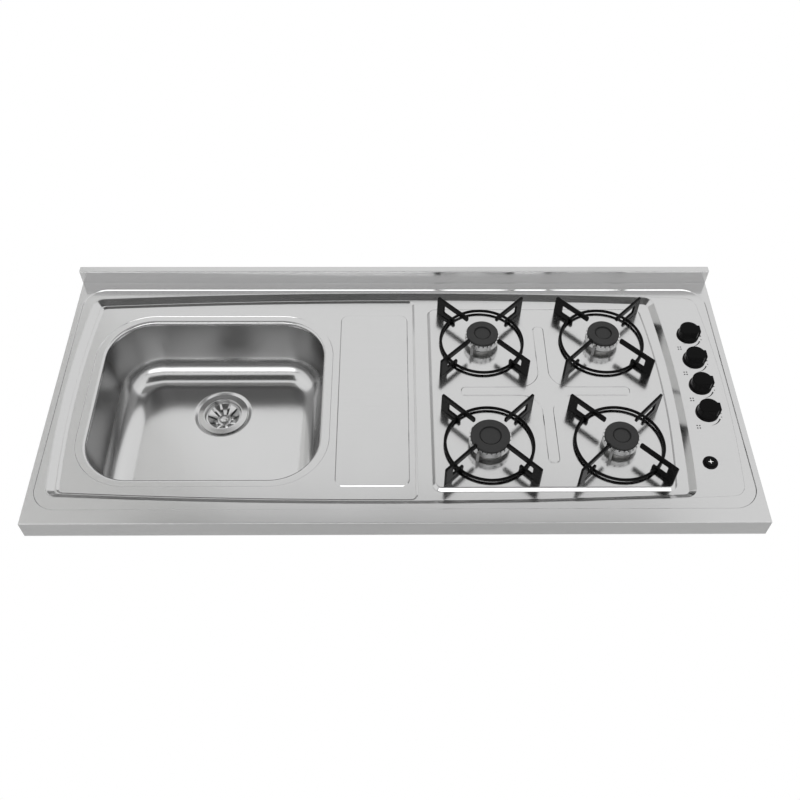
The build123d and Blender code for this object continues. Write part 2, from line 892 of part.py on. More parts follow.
for number, y in enumerate(knob_ys, start=1):
    axis = upright(knob_x, y)
    centre = (knob_x, y)
    with BuildPart() as valve_body:
        with BuildSketch(Plane.XY.offset(valve_top_z)):
            with Locations(centre):
                Rectangle(valve_plate_x, valve_plate_y)
        extrude(amount=valve_plate)
        profile = section(
            knob_x,
            y,
            (0, manifold_top_z),
            (valve_radius, manifold_top_z),
            (valve_radius, plug_top_z),
            (valve_neck_radius, plug_top_z),
            (valve_neck_radius, valve_top_z),
            (0, valve_top_z),
        )
        revolve(profile, axis=axis)
        outlet = Plane((knob_x, y, tube_z), z_dir=(-1, 0, 0))
        with BuildSketch(outlet):
            Circle(valve_outlet_radius)
        extrude(amount=valve_outlet_reach)
        with BuildSketch(outlet):
            Circle(tube_bore)
        extrude(amount=valve_outlet_reach, mode=Mode.SUBTRACT)
        with BuildSketch(Plane.XY.offset(plug_floor_z)):
            with Locations(centre):
                Circle(plug_radius + plug_clearance)
        extrude(amount=plug_length, mode=Mode.SUBTRACT)
        with BuildSketch(Plane.XY.offset(panel_under_z)):
            with Locations(centre):
                Circle(stem_radius + stem_neck_clearance)
        extrude(amount=plug_top_z - panel_under_z, mode=Mode.SUBTRACT)
        with BuildSketch(Plane.XY.offset(manifold_top_z)):
            with Locations(centre):
                Circle(tube_bore)
        extrude(amount=valve_floor, mode=Mode.SUBTRACT)
    save(valve_body, f"valve_body_{number}")

    with BuildPart() as valve_plug:
        with BuildSketch(Plane.XY.offset(plug_floor_z + plug_float)):
            with Locations(centre):
                Circle(plug_radius)
        extrude(amount=plug_length - 2 * plug_float)
        socket = shaft_section(stem_radius + stem_clearance, stem_flat + stem_clearance, stem_socket_z, knob_x, y)
        extrude(socket, amount=plug_length, mode=Mode.SUBTRACT)
        with BuildSketch(Plane.XY.offset(plug_floor_z)):
            with Locations(centre):
                Circle(tube_bore)
        extrude(amount=tube_z - plug_floor_z, mode=Mode.SUBTRACT)
        port_angle = radians(plug_port_angle)
        with BuildSketch(Plane((knob_x, y, tube_z), z_dir=(cos(port_angle), sin(port_angle), 0))):
            Circle(tube_bore)
        extrude(amount=2 * plug_radius, mode=Mode.SUBTRACT)
    save(valve_plug, f"valve_plug_{number}")

    with BuildPart() as valve_stem:
        extrude(shaft_section(stem_radius, stem_flat, stem_bottom_z, knob_x, y), amount=stem_top_z - stem_bottom_z)
    save(valve_stem, f"valve_stem_{number}")

    with BuildPart() as knob:
        with BuildSketch(Plane.XY.offset(knob_z)):
            with Locations(centre):
                Circle(knob_radius)
        extrude(amount=knob_skirt)
        with BuildSketch(Plane.XY.offset(knob_z + knob_skirt)) as grip:
            with Locations(centre):
                Circle(knob_grip_radius)
                pointer_reach = knob_grip_radius + knob_pointer
                Rectangle(pointer_reach, 2 * knob_pointer_half, align=(Align.MIN, Align.CENTER))
            with Locations((knob_x, y - knob_grip_half)):
                Rectangle(
                    2 * pointer_reach, pointer_reach, align=(Align.CENTER, Align.MAX), mode=Mode.SUBTRACT
                )
            fillet(grip.vertices(), knob_corner)
        extrude(amount=knob_height - knob_skirt)
        fillet(knob.faces().sort_by(Axis.Z)[-1].edges(), knob_edge)
        with BuildSketch(Plane.XY.offset(knob_z)):
            with Locations(centre):
                Circle(knob_grip_half - knob_wall)
                Circle(knob_socket_wall, mode=Mode.SUBTRACT)
        extrude(amount=knob_socket_depth, mode=Mode.SUBTRACT)
        socket = shaft_section(stem_radius + stem_clearance, stem_flat + stem_clearance, knob_z, knob_x, y)
        extrude(socket, amount=knob_socket_depth, mode=Mode.SUBTRACT)
    save(knob, f"knob_{number}")

# Igniter: push switch through the panel, held by a nut
switch_axis = upright(button_x, button_y)
switch_bottom_z = panel_z - switch_drop
button_bore = button_radius + button_clearance

with BuildPart() as igniter_housing:
    profile = section(
        button_x,
        button_y,
        (0, switch_bottom_z),
        (switch_radius, switch_bottom_z),
        (switch_radius, panel_z),
        (button_bezel_radius, panel_z),
        (button_bezel_radius, panel_z + button_bezel_rise),
        (button_bore, panel_z + button_bezel_rise),
        (button_bore, switch_bottom_z + switch_wall),
        (0, switch_bottom_z + switch_wall),
    )
    revolve(profile, axis=switch_axis)
save(igniter_housing, "igniter_housing")

with BuildPart() as igniter_nut:
    with BuildSketch(Plane.XY.offset(panel_under_z)):
        with Locations((button_x, button_y)):
            RegularPolygon(switch_nut_radius, hex_sides)
            Circle(switch_radius + switch_clearance, mode=Mode.SUBTRACT)
    extrude(amount=-switch_nut)
save(igniter_nut, "igniter_nut")

with BuildPart() as igniter_button:
    with BuildSketch(Plane.XY.offset(panel_z + button_rise)):
        with Locations((button_x, button_y)):
            Circle(button_radius)
    extrude(amount=-button_length)
    fillet(igniter_button.faces().sort_by(Axis.Z)[-1].edges(), button_edge)
save(igniter_button, "igniter_button")

# Gas line: manifold under the valves, inlet through the tray's back wall, a tube to each burner
tray_inside_back = tray_back - tray_sheet
manifold_front = knob_ys[-1] - manifold_front_run

with BuildPart() as gas_manifold:
    length = tray_inside_back - manifold_front
    with BuildSketch(Plane((knob_x, manifold_front, manifold_z), z_dir=(0, 1, 0))):
        Circle(manifold_radius)
    extrude(amount=length)
    with BuildSketch(Plane((knob_x, manifold_front + manifold_wall, manifold_z), z_dir=(0, 1, 0))):
        Circle(manifold_bore)
    extrude(amount=length, mode=Mode.SUBTRACT)
    with BuildSketch(Plane.XY.offset(manifold_top_z)):
        with Locations(*[(knob_x, y) for y in knob_ys]):
            Rectangle(2 * manifold_radius, 2 * (valve_radius + manifold_flat))
    extrude(amount=manifold_flat, mode=Mode.SUBTRACT)
    with BuildSketch(Plane.XY.offset(manifold_top_z)):
        with Locations(*[(knob_x, y) for y in knob_ys]):
            Circle(tube_bore)
    extrude(amount=-manifold_radius + manifold_flat, mode=Mode.SUBTRACT)
save(gas_manifold, "gas_manifold")

with BuildPart() as gas_inlet:
    with BuildSketch(Plane((knob_x, tray_inside_back, manifold_z), z_dir=(0, 1, 0))):
        Circle(manifold_radius)
    extrude(amount=tray_sheet)
    with BuildSketch(Plane((knob_x, tray_back, manifold_z), z_dir=(0, 1, 0))):
        Circle(inlet_flange_radius)
    extrude(amount=inlet_flange)
    with BuildSketch(Plane((knob_x, tray_back + inlet_flange, manifold_z), z_dir=(0, 1, 0))):
        Circle(inlet_thread_radius)
    extrude(amount=inlet_thread_length)
    with BuildSketch(Plane((knob_x, tray_inside_back, manifold_z), z_dir=(0, 1, 0))):
        Circle(manifold_bore)
    extrude(amount=tray_sheet + inlet_flange + inlet_thread_length, mode=Mode.SUBTRACT)
save(gas_inlet, "gas_inlet")

for (name, burner), y in zip(burners.items(), knob_ys):
    feed = tube_feeds[name]
    start = (outlet_x, y, tube_z)
    end = (burner.x + feed[0] * half_block, burner.y + feed[1] * half_block, tube_z)
    if feed[0]:
        corners = [(outlet_x - tube_jog, y, tube_z), (end[0] + tube_jog, burner.y, tube_z)]
    else:
        corners = [(burner.x, y, tube_z)]
    with BuildPart() as gas_tube:
        with BuildLine() as route:
            FilletPolyline(start, *corners, end, radius=tube_bend)
        with BuildSketch(Plane(start, z_dir=(-1, 0, 0))):
            Circle(tube_radius)
            Circle(tube_bore, mode=Mode.SUBTRACT)
        sweep(path=route.line)
    save(gas_tube, f"gas_tube_{name}")

# Bottom tray that closes the hob from below, hung from the deck and the panel by flanges
tray_rim_z = hob_z - sheet
tray_x = (tray_left + tray_right) / 2
tray_y = (tray_front + tray_back) / 2
tray_length = tray_right - tray_left
tray_width = tray_back - tray_front
flange_length = tray_flange_end - tray_left - tray_radius
side_length = tray_width - 2 * tray_radius

with BuildPart() as hob_tray:
    with BuildSketch(Plane.XY.offset(tray_floor_z)):
        with Locations((tray_x, tray_y)):
            RectangleRounded(tray_length, tray_width, tray_radius)
    extrude(amount=tray_rim_z - tray_floor_z)
    with BuildSketch(Plane.XY.offset(tray_floor_z + tray_sheet)):
        with Locations((tray_x, tray_y)):
            RectangleRounded(tray_length - 2 * tray_sheet, tray_width - 2 * tray_sheet, tray_radius - tray_sheet)
    extrude(amount=tray_rim_z - tray_floor_z, mode=Mode.SUBTRACT)
    with BuildSketch(Plane.XY.offset(tray_rim_z)):
        with Locations((tray_flange_end, tray_front + tray_sheet)):
            Rectangle(flange_length, tray_flange + tray_sheet, align=(Align.MAX, Align.MAX))
        with Locations((tray_flange_end, tray_back - tray_sheet)):
            Rectangle(flange_length, tray_flange + tray_sheet, align=(Align.MAX, Align.MIN))
        with Locations((tray_left + tray_sheet, tray_y)):
            Rectangle(tray_side_flange + tray_sheet, side_length, align=(Align.MAX, Align.CENTER))
    extrude(amount=-tray_sheet)
    with BuildSketch(Plane.XY.offset(tray_rim_z)):
        with Locations((tray_right, tray_y)):
            Rectangle(tray_sheet, side_length, align=(Align.MAX, Align.CENTER))
    extrude(amount=panel_under_z - tray_rim_z)
    with BuildSketch(Plane.XY.offset(panel_under_z)):
        with Locations((tray_right, tray_y)):
            Rectangle(tray_side_flange, side_length, align=(Align.MAX, Align.CENTER))
    extrude(amount=-tray_sheet)
    with BuildSketch(Plane.XY.offset(tray_floor_z)):
        with Locations((tray_x, tray_y)):
            with GridLocations(vent_pitch, 0, vent_slots, 1):
                SlotOverall(vent_length, vent_width)
    extrude(amount=tray_sheet, mode=Mode.SUBTRACT)
    with BuildSketch(Plane((0, tray_inside_back, 0), x_dir=(-1, 0, 0), z_dir=(0, 1, 0))):
        with Locations((-knob_x, manifold_z)):
            Circle(manifold_radius + inlet_clearance)
        with Locations((-gland_x, gland_z)):
            Circle(gland_radius + inlet_clearance)
    extrude(amount=tray_sheet, mode=Mode.SUBTRACT)
save(hob_tray, "hob_tray")

# Ignition: generator on the tray floor, a lead to each electrode and a bush for the supply cord
generator_floor_z = tray_floor_z + tray_sheet
terminal_x = generator_x - generator_length / 2
lead_x = terminal_x - terminal_length
lead_ends = ["front_left", "front_right", "rear_left", "rear_right"]
lead_ys = [generator_y + terminal_pitch * (i - (len(lead_ends) - 1) / 2) for i in range(len(lead_ends))]

with BuildPart() as spark_generator:
    with BuildSketch(Plane.XY.offset(generator_floor_z)):
        with Locations((generator_x, generator_y)):
            RectangleRounded(generator_length, generator_depth, generator_radius)
    extrude(amount=generator_height)
    with BuildSketch(Plane((terminal_x, 0, 0), x_dir=(0, -1, 0), z_dir=(-1, 0, 0))):
        with Locations(*[(-y, terminal_z) for y in lead_ys]):
            Circle(terminal_radius)
    extrude(amount=terminal_length)
save(spark_generator, "spark_generator")

with BuildPart() as ignition_leads:
    for name, y in zip(lead_ends, lead_ys):
        x_end, y_end = electrode_place(burners[name])
        bends = []
        if name == "front_left":
            bends = [(x_end + 2 * lead_ease, y), (x_end + lead_ease, y_end)]
        if name == "rear_right":
            bends = [(lead_x - lead_run, y), (lead_x - lead_run, y_end)]
        if name == "rear_left":
            bends = [(lead_x - 2 * lead_run, y), (lead_x - 2 * lead_run, lead_cross_y), (x_end, lead_cross_y)]
        route_points = [(lead_x, y), *bends, (x_end, y_end)]
        radii = [lead_sweep] * len(bends) + [lead_bend]
        with BuildLine() as route:
            FilletPolyline(*[(px, py, terminal_z) for px, py in route_points], (x_end, y_end, pin_bottom_z), radius=radii)
        with BuildSketch(Plane(route.line @ 0, z_dir=route.line % 0)):
            Circle(lead_radius)
        sweep(path=route.line)
save(ignition_leads, "ignition_leads")

with BuildPart() as mains_gland:
    with BuildSketch(Plane((gland_x, tray_inside_back - gland_length, gland_z), z_dir=(0, 1, 0))):
        Circle(gland_radius)
    extrude(amount=gland_length + tray_sheet)
    with BuildSketch(Plane((gland_x, tray_back, gland_z), z_dir=(0, 1, 0))):
        Circle(gland_flange_radius)
    extrude(amount=gland_flange)
    with BuildSketch(Plane((gland_x, tray_inside_back - gland_length, gland_z), z_dir=(0, 1, 0))):
        Circle(gland_bore)
    extrude(amount=gland_length + tray_sheet + gland_flange, mode=Mode.SUBTRACT)
save(mains_gland, "mains_gland")
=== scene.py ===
"""Sink and stove unit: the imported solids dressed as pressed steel, enamel and moulded plastic.

Sizes are millimetres. Vertices are made in metres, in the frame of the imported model.
"""

import json
import logging
from collections.abc import Iterable, Sequence
from dataclasses import dataclass
from enum import Enum
from math import asin, atan2, ceil, cos, hypot, pi, radians, sin, sqrt, tan

import bmesh
import bpy
import numpy as np
from mathutils import Matrix, Vector

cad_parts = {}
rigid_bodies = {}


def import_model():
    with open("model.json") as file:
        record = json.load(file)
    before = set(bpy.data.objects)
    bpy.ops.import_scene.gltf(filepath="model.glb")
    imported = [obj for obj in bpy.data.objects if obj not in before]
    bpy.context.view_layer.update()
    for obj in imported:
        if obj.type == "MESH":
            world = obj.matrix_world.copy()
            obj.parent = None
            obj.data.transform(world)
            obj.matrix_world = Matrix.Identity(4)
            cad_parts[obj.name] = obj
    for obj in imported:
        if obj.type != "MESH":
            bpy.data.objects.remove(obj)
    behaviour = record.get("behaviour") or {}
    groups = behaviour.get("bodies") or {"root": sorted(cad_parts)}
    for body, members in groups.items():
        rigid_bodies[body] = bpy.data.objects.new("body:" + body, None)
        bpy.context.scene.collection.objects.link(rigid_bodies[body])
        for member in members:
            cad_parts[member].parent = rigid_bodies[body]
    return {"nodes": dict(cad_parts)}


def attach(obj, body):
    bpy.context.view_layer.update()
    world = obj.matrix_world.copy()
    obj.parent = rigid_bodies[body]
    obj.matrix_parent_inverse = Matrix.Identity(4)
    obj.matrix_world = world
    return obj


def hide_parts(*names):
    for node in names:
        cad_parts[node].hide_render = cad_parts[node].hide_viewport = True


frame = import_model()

# Metres in a millimetre
MM = 0.001
# Radius of a side that counts as straight, and the level strip beyond a bend
STRAIGHT, STRIP = 1e6, 0.6
# Bend above which an edge stays sharp, and the least Z of a level face's normal
SHARP, LEVEL = radians(38), 0.9
# Heights of the control panel, the hob plateau and the bowl's mouth
PANEL_Z, DECK_Z, LIP_Z = 35.7, 32.5, 14.3
# Plan of the bowl's mouth, and the drain's place in its floor
BOWL_CENTRE, BOWL_SIZE, BOWL_RADIUS = (-330.5, -4.5), (397.0, 350.0), 82.0
DRAIN_CENTRE = (-330.5, 57.5)
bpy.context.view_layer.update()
LOG = logging.getLogger("sink_and_stove")
Ring = list[bmesh.types.BMVert]
Corner = tuple[float, float, float]
Spot = tuple[float, float]


def linear(colour: str) -> tuple[float, ...]:
    """Turn an sRGB hex colour into linear light.

    Args:
        colour: Six hex digits after a hash.

    Returns:
        Red, green and blue, and an alpha of one.
    """
    channels = [int(colour[i:i + 2], 16) / 255 for i in (1, 3, 5)]
    return (*[c / 12.92 if c <= 0.04045 else ((c + 0.055) / 1.055) ** 2.4 for c in channels], 1.0)


def add_node(tree: bpy.types.NodeTree, kind: str, settings: dict | None = None,
             inputs: dict | None = None) -> bpy.types.Node:
    """Add a node with its settings, values and links.

    Args:
        tree: Tree that takes the node.
        kind: Blender's name for the kind of node.
        settings: Properties of the node.
        inputs: Values or other nodes' sockets, by the name or number of the input.

    Returns:
        The new node.
    """
    node = tree.nodes.new(kind)
    for name, value in (settings or {}).items():
        setattr(node, name, value)
    for key, value in (inputs or {}).items():
        if isinstance(value, bpy.types.NodeSocket):
            tree.links.new(value, node.inputs[key])
        else:
            node.inputs[key].default_value = value
    return node


def link(name: str, data: bpy.types.ID) -> bpy.types.Object:
    """Put a mesh, lamp or camera into the scene.

    Args:
        name: Name of the object.
        data: What it shows.

    Returns:
        The new object.
    """
    made = bpy.data.objects.new(name, data)
    bpy.context.scene.collection.objects.link(made)
    return made


class Grain(Enum):
    """Length of a pattern's cells along X, Y and Z, in cell widths."""

    EVEN = (1.0, 1.0, 1.0)
    BRUSHED = (70.0, 1.0, 1.0)
    TURNED = (50.0, 50.0, 1.0)


class Pattern(Enum):
    """Texture node of a pattern and the output that carries it."""

    CLOUDED = ("ShaderNodeTexNoise", 0)
    CRYSTALS = ("ShaderNodeTexVoronoi", 1)


@dataclass(frozen=True)
class Finish:
    """A real surface: its colour, gloss and the fine pattern that its making left.

    Attributes:
        name: Material and how its surface was made.
        colour: sRGB colour of the lighter part of the pattern.
        size: Width of the pattern's cells in mm.
        rough: Mean roughness.
        metal: Metallic share.
        spread: How far roughness swings with the pattern.
        shade: How much darker the low part of the pattern is.
        bump: Height of the pattern in mm.
        patch: Width of the slow unevenness in mm.
        mirror: Specular level, where 0.5 is common plastic or glass.
        grain: Stretch of the cells.
        pattern: Kind of pattern.
        painted_shade_colour: sRGB colour above the levels, painted shade that makes a piece darker high up.
        high_rough: Roughness above the levels.
        levels: Heights in mm between which the colour changes.
    """

    name: str
    colour: str
    size: float
    rough: float
    metal: float = 0.0
    spread: float = 0.05
    shade: float = 0.1
    bump: float = 0.01
    patch: float = 60.0
    mirror: float = 0.5
    grain: Grain = Grain.EVEN
    pattern: Pattern = Pattern.CLOUDED
    painted_shade_colour: str = ""
    high_rough: float = 0.3
    levels: Spot = (0.0, 1.0)

    def material(self) -> bpy.types.Material:
        """Build the material's nodes the first time it is asked for.

        Returns:
            The material.
        """
        made = bpy.data.materials.get(self.name)
        if made:
            return made
        made = bpy.data.materials.new(self.name)
        made.use_nodes = True
        tree = made.node_tree
        shader = tree.nodes["Principled BSDF"]
        shader.inputs["Metallic"].default_value = self.metal
        shader.inputs["Specular IOR Level"].default_value = self.mirror
        place = add_node(tree, "ShaderNodeTexCoord").outputs["Object"]
        scale = [1 / (self.size * MM * length) for length in self.grain.value]
        cells = add_node(tree, "ShaderNodeMapping", inputs={"Vector": place, "Scale": scale})
        kind, output = self.pattern.value
        fine = add_node(tree, kind, inputs={"Vector": cells.outputs[0], "Scale": 1.0}).outputs[output]
        slow = add_node(tree, "ShaderNodeTexNoise", inputs={"Vector": place, "Scale": 1 / (self.patch * MM)})
        light = linear(self.colour)
        dark = tuple(c * (1 - self.shade) for c in light[:3]) + (1.0,)
        tint = add_node(tree, "ShaderNodeMix", {"data_type": "RGBA"}, {0: fine, 6: dark, 7: light})
        both = add_node(tree, "ShaderNodeMix", inputs={0: 0.5, 2: fine, 3: slow.outputs[0]})
        gloss = add_node(tree, "ShaderNodeMapRange", inputs={
            "Value": both.outputs[0], "From Min": 0.25, "From Max": 0.75,
            "To Min": max(self.rough - self.spread, 0.02), "To Max": self.rough + self.spread})
        # Painted shade: above the levels the colour is mixed toward a darker one that stands in for shade and
        # dark reflections, and the roughness rises as well.
        if self.painted_shade_colour:
            height = add_node(tree, "ShaderNodeSeparateXYZ", inputs={0: place}).outputs[2]
            share = add_node(tree, "ShaderNodeMapRange", inputs={
                "Value": height, "From Min": self.levels[0] * MM, "From Max": self.levels[1] * MM}).outputs[0]
            tint = add_node(tree, "ShaderNodeMix", {"data_type": "RGBA"},
                            {0: share, 6: tint.outputs[2], 7: linear(self.painted_shade_colour)})
            gloss = add_node(tree, "ShaderNodeMix",
                             inputs={0: share, 2: gloss.outputs[0], 3: self.high_rough})
        relief = add_node(tree, "ShaderNodeBump", inputs={"Distance": self.bump * MM, "Height": fine})
        tree.links.new(tint.outputs[2], shader.inputs["Base Color"])
        tree.links.new(gloss.outputs[0], shader.inputs["Roughness"])
        tree.links.new(relief.outputs[0], shader.inputs["Normal"])
        return made


# Cold-rolled 304 sheet, satin: pale, long blurred reflections, a grain only just seen along the length.
# The grain is drawn at 0.9 mm, several times coarser than real grit lines, so that it shows at all.
SATIN_STEEL = Finish("stainless_304_satin", "#CFCFCF", 0.9, 0.17, metal=1.0, spread=0.035, shade=0.05,
                     bump=0.0012, patch=140, grain=Grain.BRUSHED)
# Deep-drawn 304, polished on the floor after pressing: sharp, contrasting reflections; the walls are left
# rougher and are painted darker above the floor, painted shade standing in for their dark reflections.
DRAWN_STEEL = Finish("stainless_304_polished", "#D2D2D2", 1.4, 0.16, metal=1.0, spread=0.03, shade=0.06,
                     bump=0.0012, patch=90, painted_shade_colour="#969696", levels=(-104.0, -66.0))
# Turned and buffed 304 of the drain: nearly mirror bright, fine rings.
BUFFED_STEEL = Finish("stainless_304_buffed", "#CECECE", 0.8, 0.15, metal=1.0, spread=0.04, shade=0.08,
                      bump=0.001, grain=Grain.TURNED)
# Vitreous enamel fired on cast bars: deep black, soft gloss with a slight peel.
BLACK_ENAMEL = Finish("vitreous_enamel_black", "#040404", 2.2, 0.26, spread=0.06, shade=0.25, bump=0.02,
                      mirror=0.1)
# Matt enamel on the burner caps: dark grey with fine specks.
CAP_ENAMEL = Finish("vitreous_enamel_matt", "#303030", 0.7, 0.6, spread=0.08, shade=0.2, bump=0.012,
                    mirror=0.3)
# Die-cast aluminium, turned on the outside: bright, fine turning lines.
CROWN_ALLOY = Finish("aluminium_turned", "#DEDEDE", 0.7, 0.2, metal=1.0, spread=0.06, shade=0.2,
                     bump=0.004, grain=Grain.TURNED)
# Die-cast aluminium of the burner cups: grey, dull, with a fine cast skin.
CAST_ALLOY = Finish("aluminium_die_cast", "#A2A2A0", 1.1, 0.38, metal=1.0, spread=0.08, shade=0.25,
                    bump=0.015)
# Glazed alumina of the electrodes: mid grey, half gloss, faint specks.
CERAMIC = Finish("alumina_glazed", "#868686", 0.9, 0.4, shade=0.2, bump=0.006, mirror=0.25)
# Drawn nickel steel wire of the spark pins.
PIN_STEEL = Finish("nickel_wire_drawn", "#8A8A88", 0.4, 0.4, metal=1.0, shade=0.15, bump=0.003)
# Phenolic moulded in a spark-eroded tool: black with a slight texture.
KNOB_PHENOLIC = Finish("phenolic_moulded", "#040404", 0.55, 0.24, spread=0.05, shade=0.3, bump=0.004,
                       mirror=0.07)
# ABS from a polished tool: glossy black.
BUTTON_ABS = Finish("abs_moulded", "#040404", 0.8, 0.22, spread=0.04, shade=0.3, bump=0.004, mirror=0.1)
# Glass-filled nylon of the fixing nut.
NUT_NYLON = Finish("nylon_glass_filled", "#2B2B2A", 0.6, 0.5, shade=0.3, bump=0.012)
# Free-cutting brass: yellow metal with turning lines.
BRASS = Finish("brass_turned", "#C9A45A", 0.5, 0.25, metal=1.0, shade=0.15, bump=0.004, grain=Grain.TURNED)
# Soft drawn aluminium tube: bright dull grey with draw lines.
TUBE_ALLOY = Finish("aluminium_drawn", "#C2C2C0", 0.8, 0.32, metal=1.0, shade=0.12, bump=0.004)
# Zinc-plated steel pipe: slightly yellow-blue bright plating.
ZINC_PLATE = Finish("steel_zinc_plated", "#B7B8B4", 2.5, 0.3, metal=1.0, shade=0.12, bump=0.004)
# Die-cast zinc of the valve bodies.
CAST_ZINC = Finish("zinc_die_cast", "#9C9C9E", 1.2, 0.4, metal=1.0, spread=0.08, shade=0.2, bump=0.012)
# Ground steel stem.
STEM_STEEL = Finish("steel_ground", "#B0B0AE", 0.4, 0.25, metal=1.0, shade=0.12, bump=0.002,
                    grain=Grain.TURNED)
# Polyester housing of the spark generator: light grey, moulded.
GENERATOR_PBT = Finish("pbt_moulded", "#8B8D8C", 0.6, 0.45, shade=0.1, bump=0.01)
# Silicone insulation of the leads: matt red-brown.
LEAD_SILICONE = Finish("silicone_extruded", "#7C2F22", 0.7, 0.5, shade=0.15, bump=0.006)
# EPDM of gland and gaskets: matt black with a bloom.
EPDM = Finish("epdm_moulded", "#1C1C1C", 0.9, 0.65, spread=0.08, shade=0.25, bump=0.012)
# Polypropylene of the drain's nut: translucent-looking white.
NUT_PP = Finish("polypropylene_moulded", "#D8D9D5", 0.8, 0.4, shade=0.06, bump=0.008)
# Hot-dip galvanised tray: grey crystals 9 mm across.
GALVANISED = Finish("steel_galvanised", "#AEB0B1", 9.0, 0.38, metal=1.0, spread=0.1, shade=0.28, bump=0.004,
                    pattern=Pattern.CRYSTALS)
# Screen-printed ink marks, one black and one white.
BLACK_INK = Finish("screen_ink_black", "#3A3A3A", 0.5, 0.6, shade=0.15, bump=0.003)
WHITE_INK = Finish("screen_ink_white", "#F2F2F0", 0.5, 0.55, shade=0.05, bump=0.003)

NODE_FINISH: dict[str, Finish] = {
    "top_sheet": SATIN_STEEL, "sink_bowl": DRAWN_STEEL, "drain_body": BUFFED_STEEL,
    "drain_basket": BUFFED_STEEL, "drain_seal": EPDM, "drain_gasket": EPDM, "drain_locknut": NUT_PP,
    "burner_cup": CAST_ALLOY, "burner_crown": CROWN_ALLOY, "burner_cap": CAP_ENAMEL, "injectors": BRASS,
    "electrode_ceramics": CERAMIC, "electrode_pins": PIN_STEEL, "trivet": BLACK_ENAMEL,
    "valve_body": CAST_ZINC, "valve_plug": BRASS, "valve_stem": STEM_STEEL, "knob": KNOB_PHENOLIC,
    "igniter_housing": BUTTON_ABS, "igniter_nut": NUT_NYLON,
    "igniter_button": BUTTON_ABS, "gas_manifold": ZINC_PLATE, "gas_inlet": BRASS, "gas_tube": TUBE_ALLOY,
    "hob_tray": GALVANISED, "spark_generator": GENERATOR_PBT, "ignition_leads": LEAD_SILICONE,
    "mains_gland": EPDM,
}


def arc_steps(radius: float, angle: float, sagitta: float = 0.02, least: int = 6) -> int:
    """Number of chords in an arc.

    Args:
        radius: Radius in mm.
        angle: Angle in radians.
        sagitta: Most that a chord may leave the arc, in mm.
        least: Smallest number of chords.

    Returns:
        The number of chords.
    """
    return max(least, ceil(abs(angle) * sqrt(radius / (8 * sagitta))))


@dataclass
class Outline:
    """Closed line in a plane, counter-clockwise, with its outward directions."""

    points: np.ndarray
    normals: np.ndarray

    @classmethod
    def rounded(cls, corners: Sequence[Corner]) -> "Outline":
        """Straight-sided outline with rounded corners, which may turn in or out.

        Args:
            corners: Each corner's place and radius; a radius of nought leaves it sharp.

        Returns:
            The outline.
        """
        points, normals = [], []
        spots = np.array([corner[:2] for corner in corners], float)
        for i, (_, _, radius) in enumerate(corners):
            into, out = spots[i] - spots[i - 1], spots[(i + 1) % len(spots)] - spots[i]
            into, out = into / hypot(*into), out / hypot(*out)
            turn = atan2(into[0] * out[1] - into[1] * out[0], into @ out)
            side = atan2(-into[0], into[1])
            if not radius:
                points.append(spots[i])
                normals.append(np.array([cos(side + turn / 2), sin(side + turn / 2)]) / cos(turn / 2))
                continue
            hand = 1 if turn > 0 else -1
            start = spots[i] - into * radius * tan(abs(turn) / 2)
            centre = start - hand * radius * np.array([cos(side), sin(side)])
            for angle in np.linspace(side, side + turn, arc_steps(radius, turn) + 1):
                normals.append(np.array([cos(angle), sin(angle)]))
                points.append(centre + hand * radius * normals[-1])
        return cls(np.array(points), np.array(normals))

    @classmethod
    def bowed(cls, arcs: Sequence[Corner], middle: Spot, radius: float) -> "Outline":
        """Outline of bowed sides, rounded where they meet.

        Args:
            arcs: Each side's circle, as its centre and radius.
            middle: A place inside.
            radius: Radius of the rounding.

        Returns:
            The outline.
        """
        centres = [np.array(arc[:2]) for arc in arcs]
        spans = [arc[2] for arc in arcs]
        outward = [(np.array(middle) - centre) / hypot(*(np.array(middle) - centre)) for centre in centres]
        pivots = []
        for i in range(len(arcs)):
            j = (i + 1) % len(arcs)
            gap = centres[j] - centres[i]
            apart = hypot(*gap)
            along = ((spans[i] - radius) ** 2 - (spans[j] - radius) ** 2 + apart**2) / (2 * apart)
            aside = sqrt((spans[i] - radius) ** 2 - along**2)
            unit = gap / apart
            across = np.array([-unit[1], unit[0]])
            meets = [centres[i] + along * unit + sign * aside * across for sign in (1, -1)]
            pivots.append(max(meets, key=lambda meet: (meet - middle) @ (outward[i] + outward[j])))
        points, normals = [], []
        for i, centre in enumerate(centres):
            after = centres[(i + 1) % len(centres)]
            rays = [pivots[i - 1] - centre, pivots[i] - centre, pivots[i] - after]
            start, end, turned = (atan2(ray[1], ray[0]) for ray in rays)
            for pivot, span, begin, sweep, least in (
                    (centre, spans[i], start, (end - start) % (2 * pi), 1),
                    (pivots[i], radius, end, (turned - end) % (2 * pi), 6)):
                for angle in np.linspace(begin, begin + sweep, arc_steps(span, sweep, least=least) + 1)[:-1]:
                    normals.append(np.array([cos(angle), sin(angle)]))
                    points.append(pivot + span * normals[-1])
        return cls(np.array(points), np.array(normals))

    @classmethod
    def circle(cls, centre: Spot, radius: float, count: int) -> "Outline":
        """Circle as an outline of equal chords."""
        angles = np.arange(count) * 2 * pi / count
        normals = np.stack([np.cos(angles), np.sin(angles)], axis=1)
        return cls(np.array(centre) + radius * normals, normals)

    @classmethod
    def rectangle(cls, centre: Spot, width: float, depth: float, radius: float) -> "Outline":
        """Rectangle with rounded corners about a centre."""
        (x, y), w, d = centre, width / 2, depth / 2
        return cls.rounded([(x + w, y - d, radius), (x + w, y + d, radius),
                            (x - w, y + d, radius), (x - w, y - d, radius)])


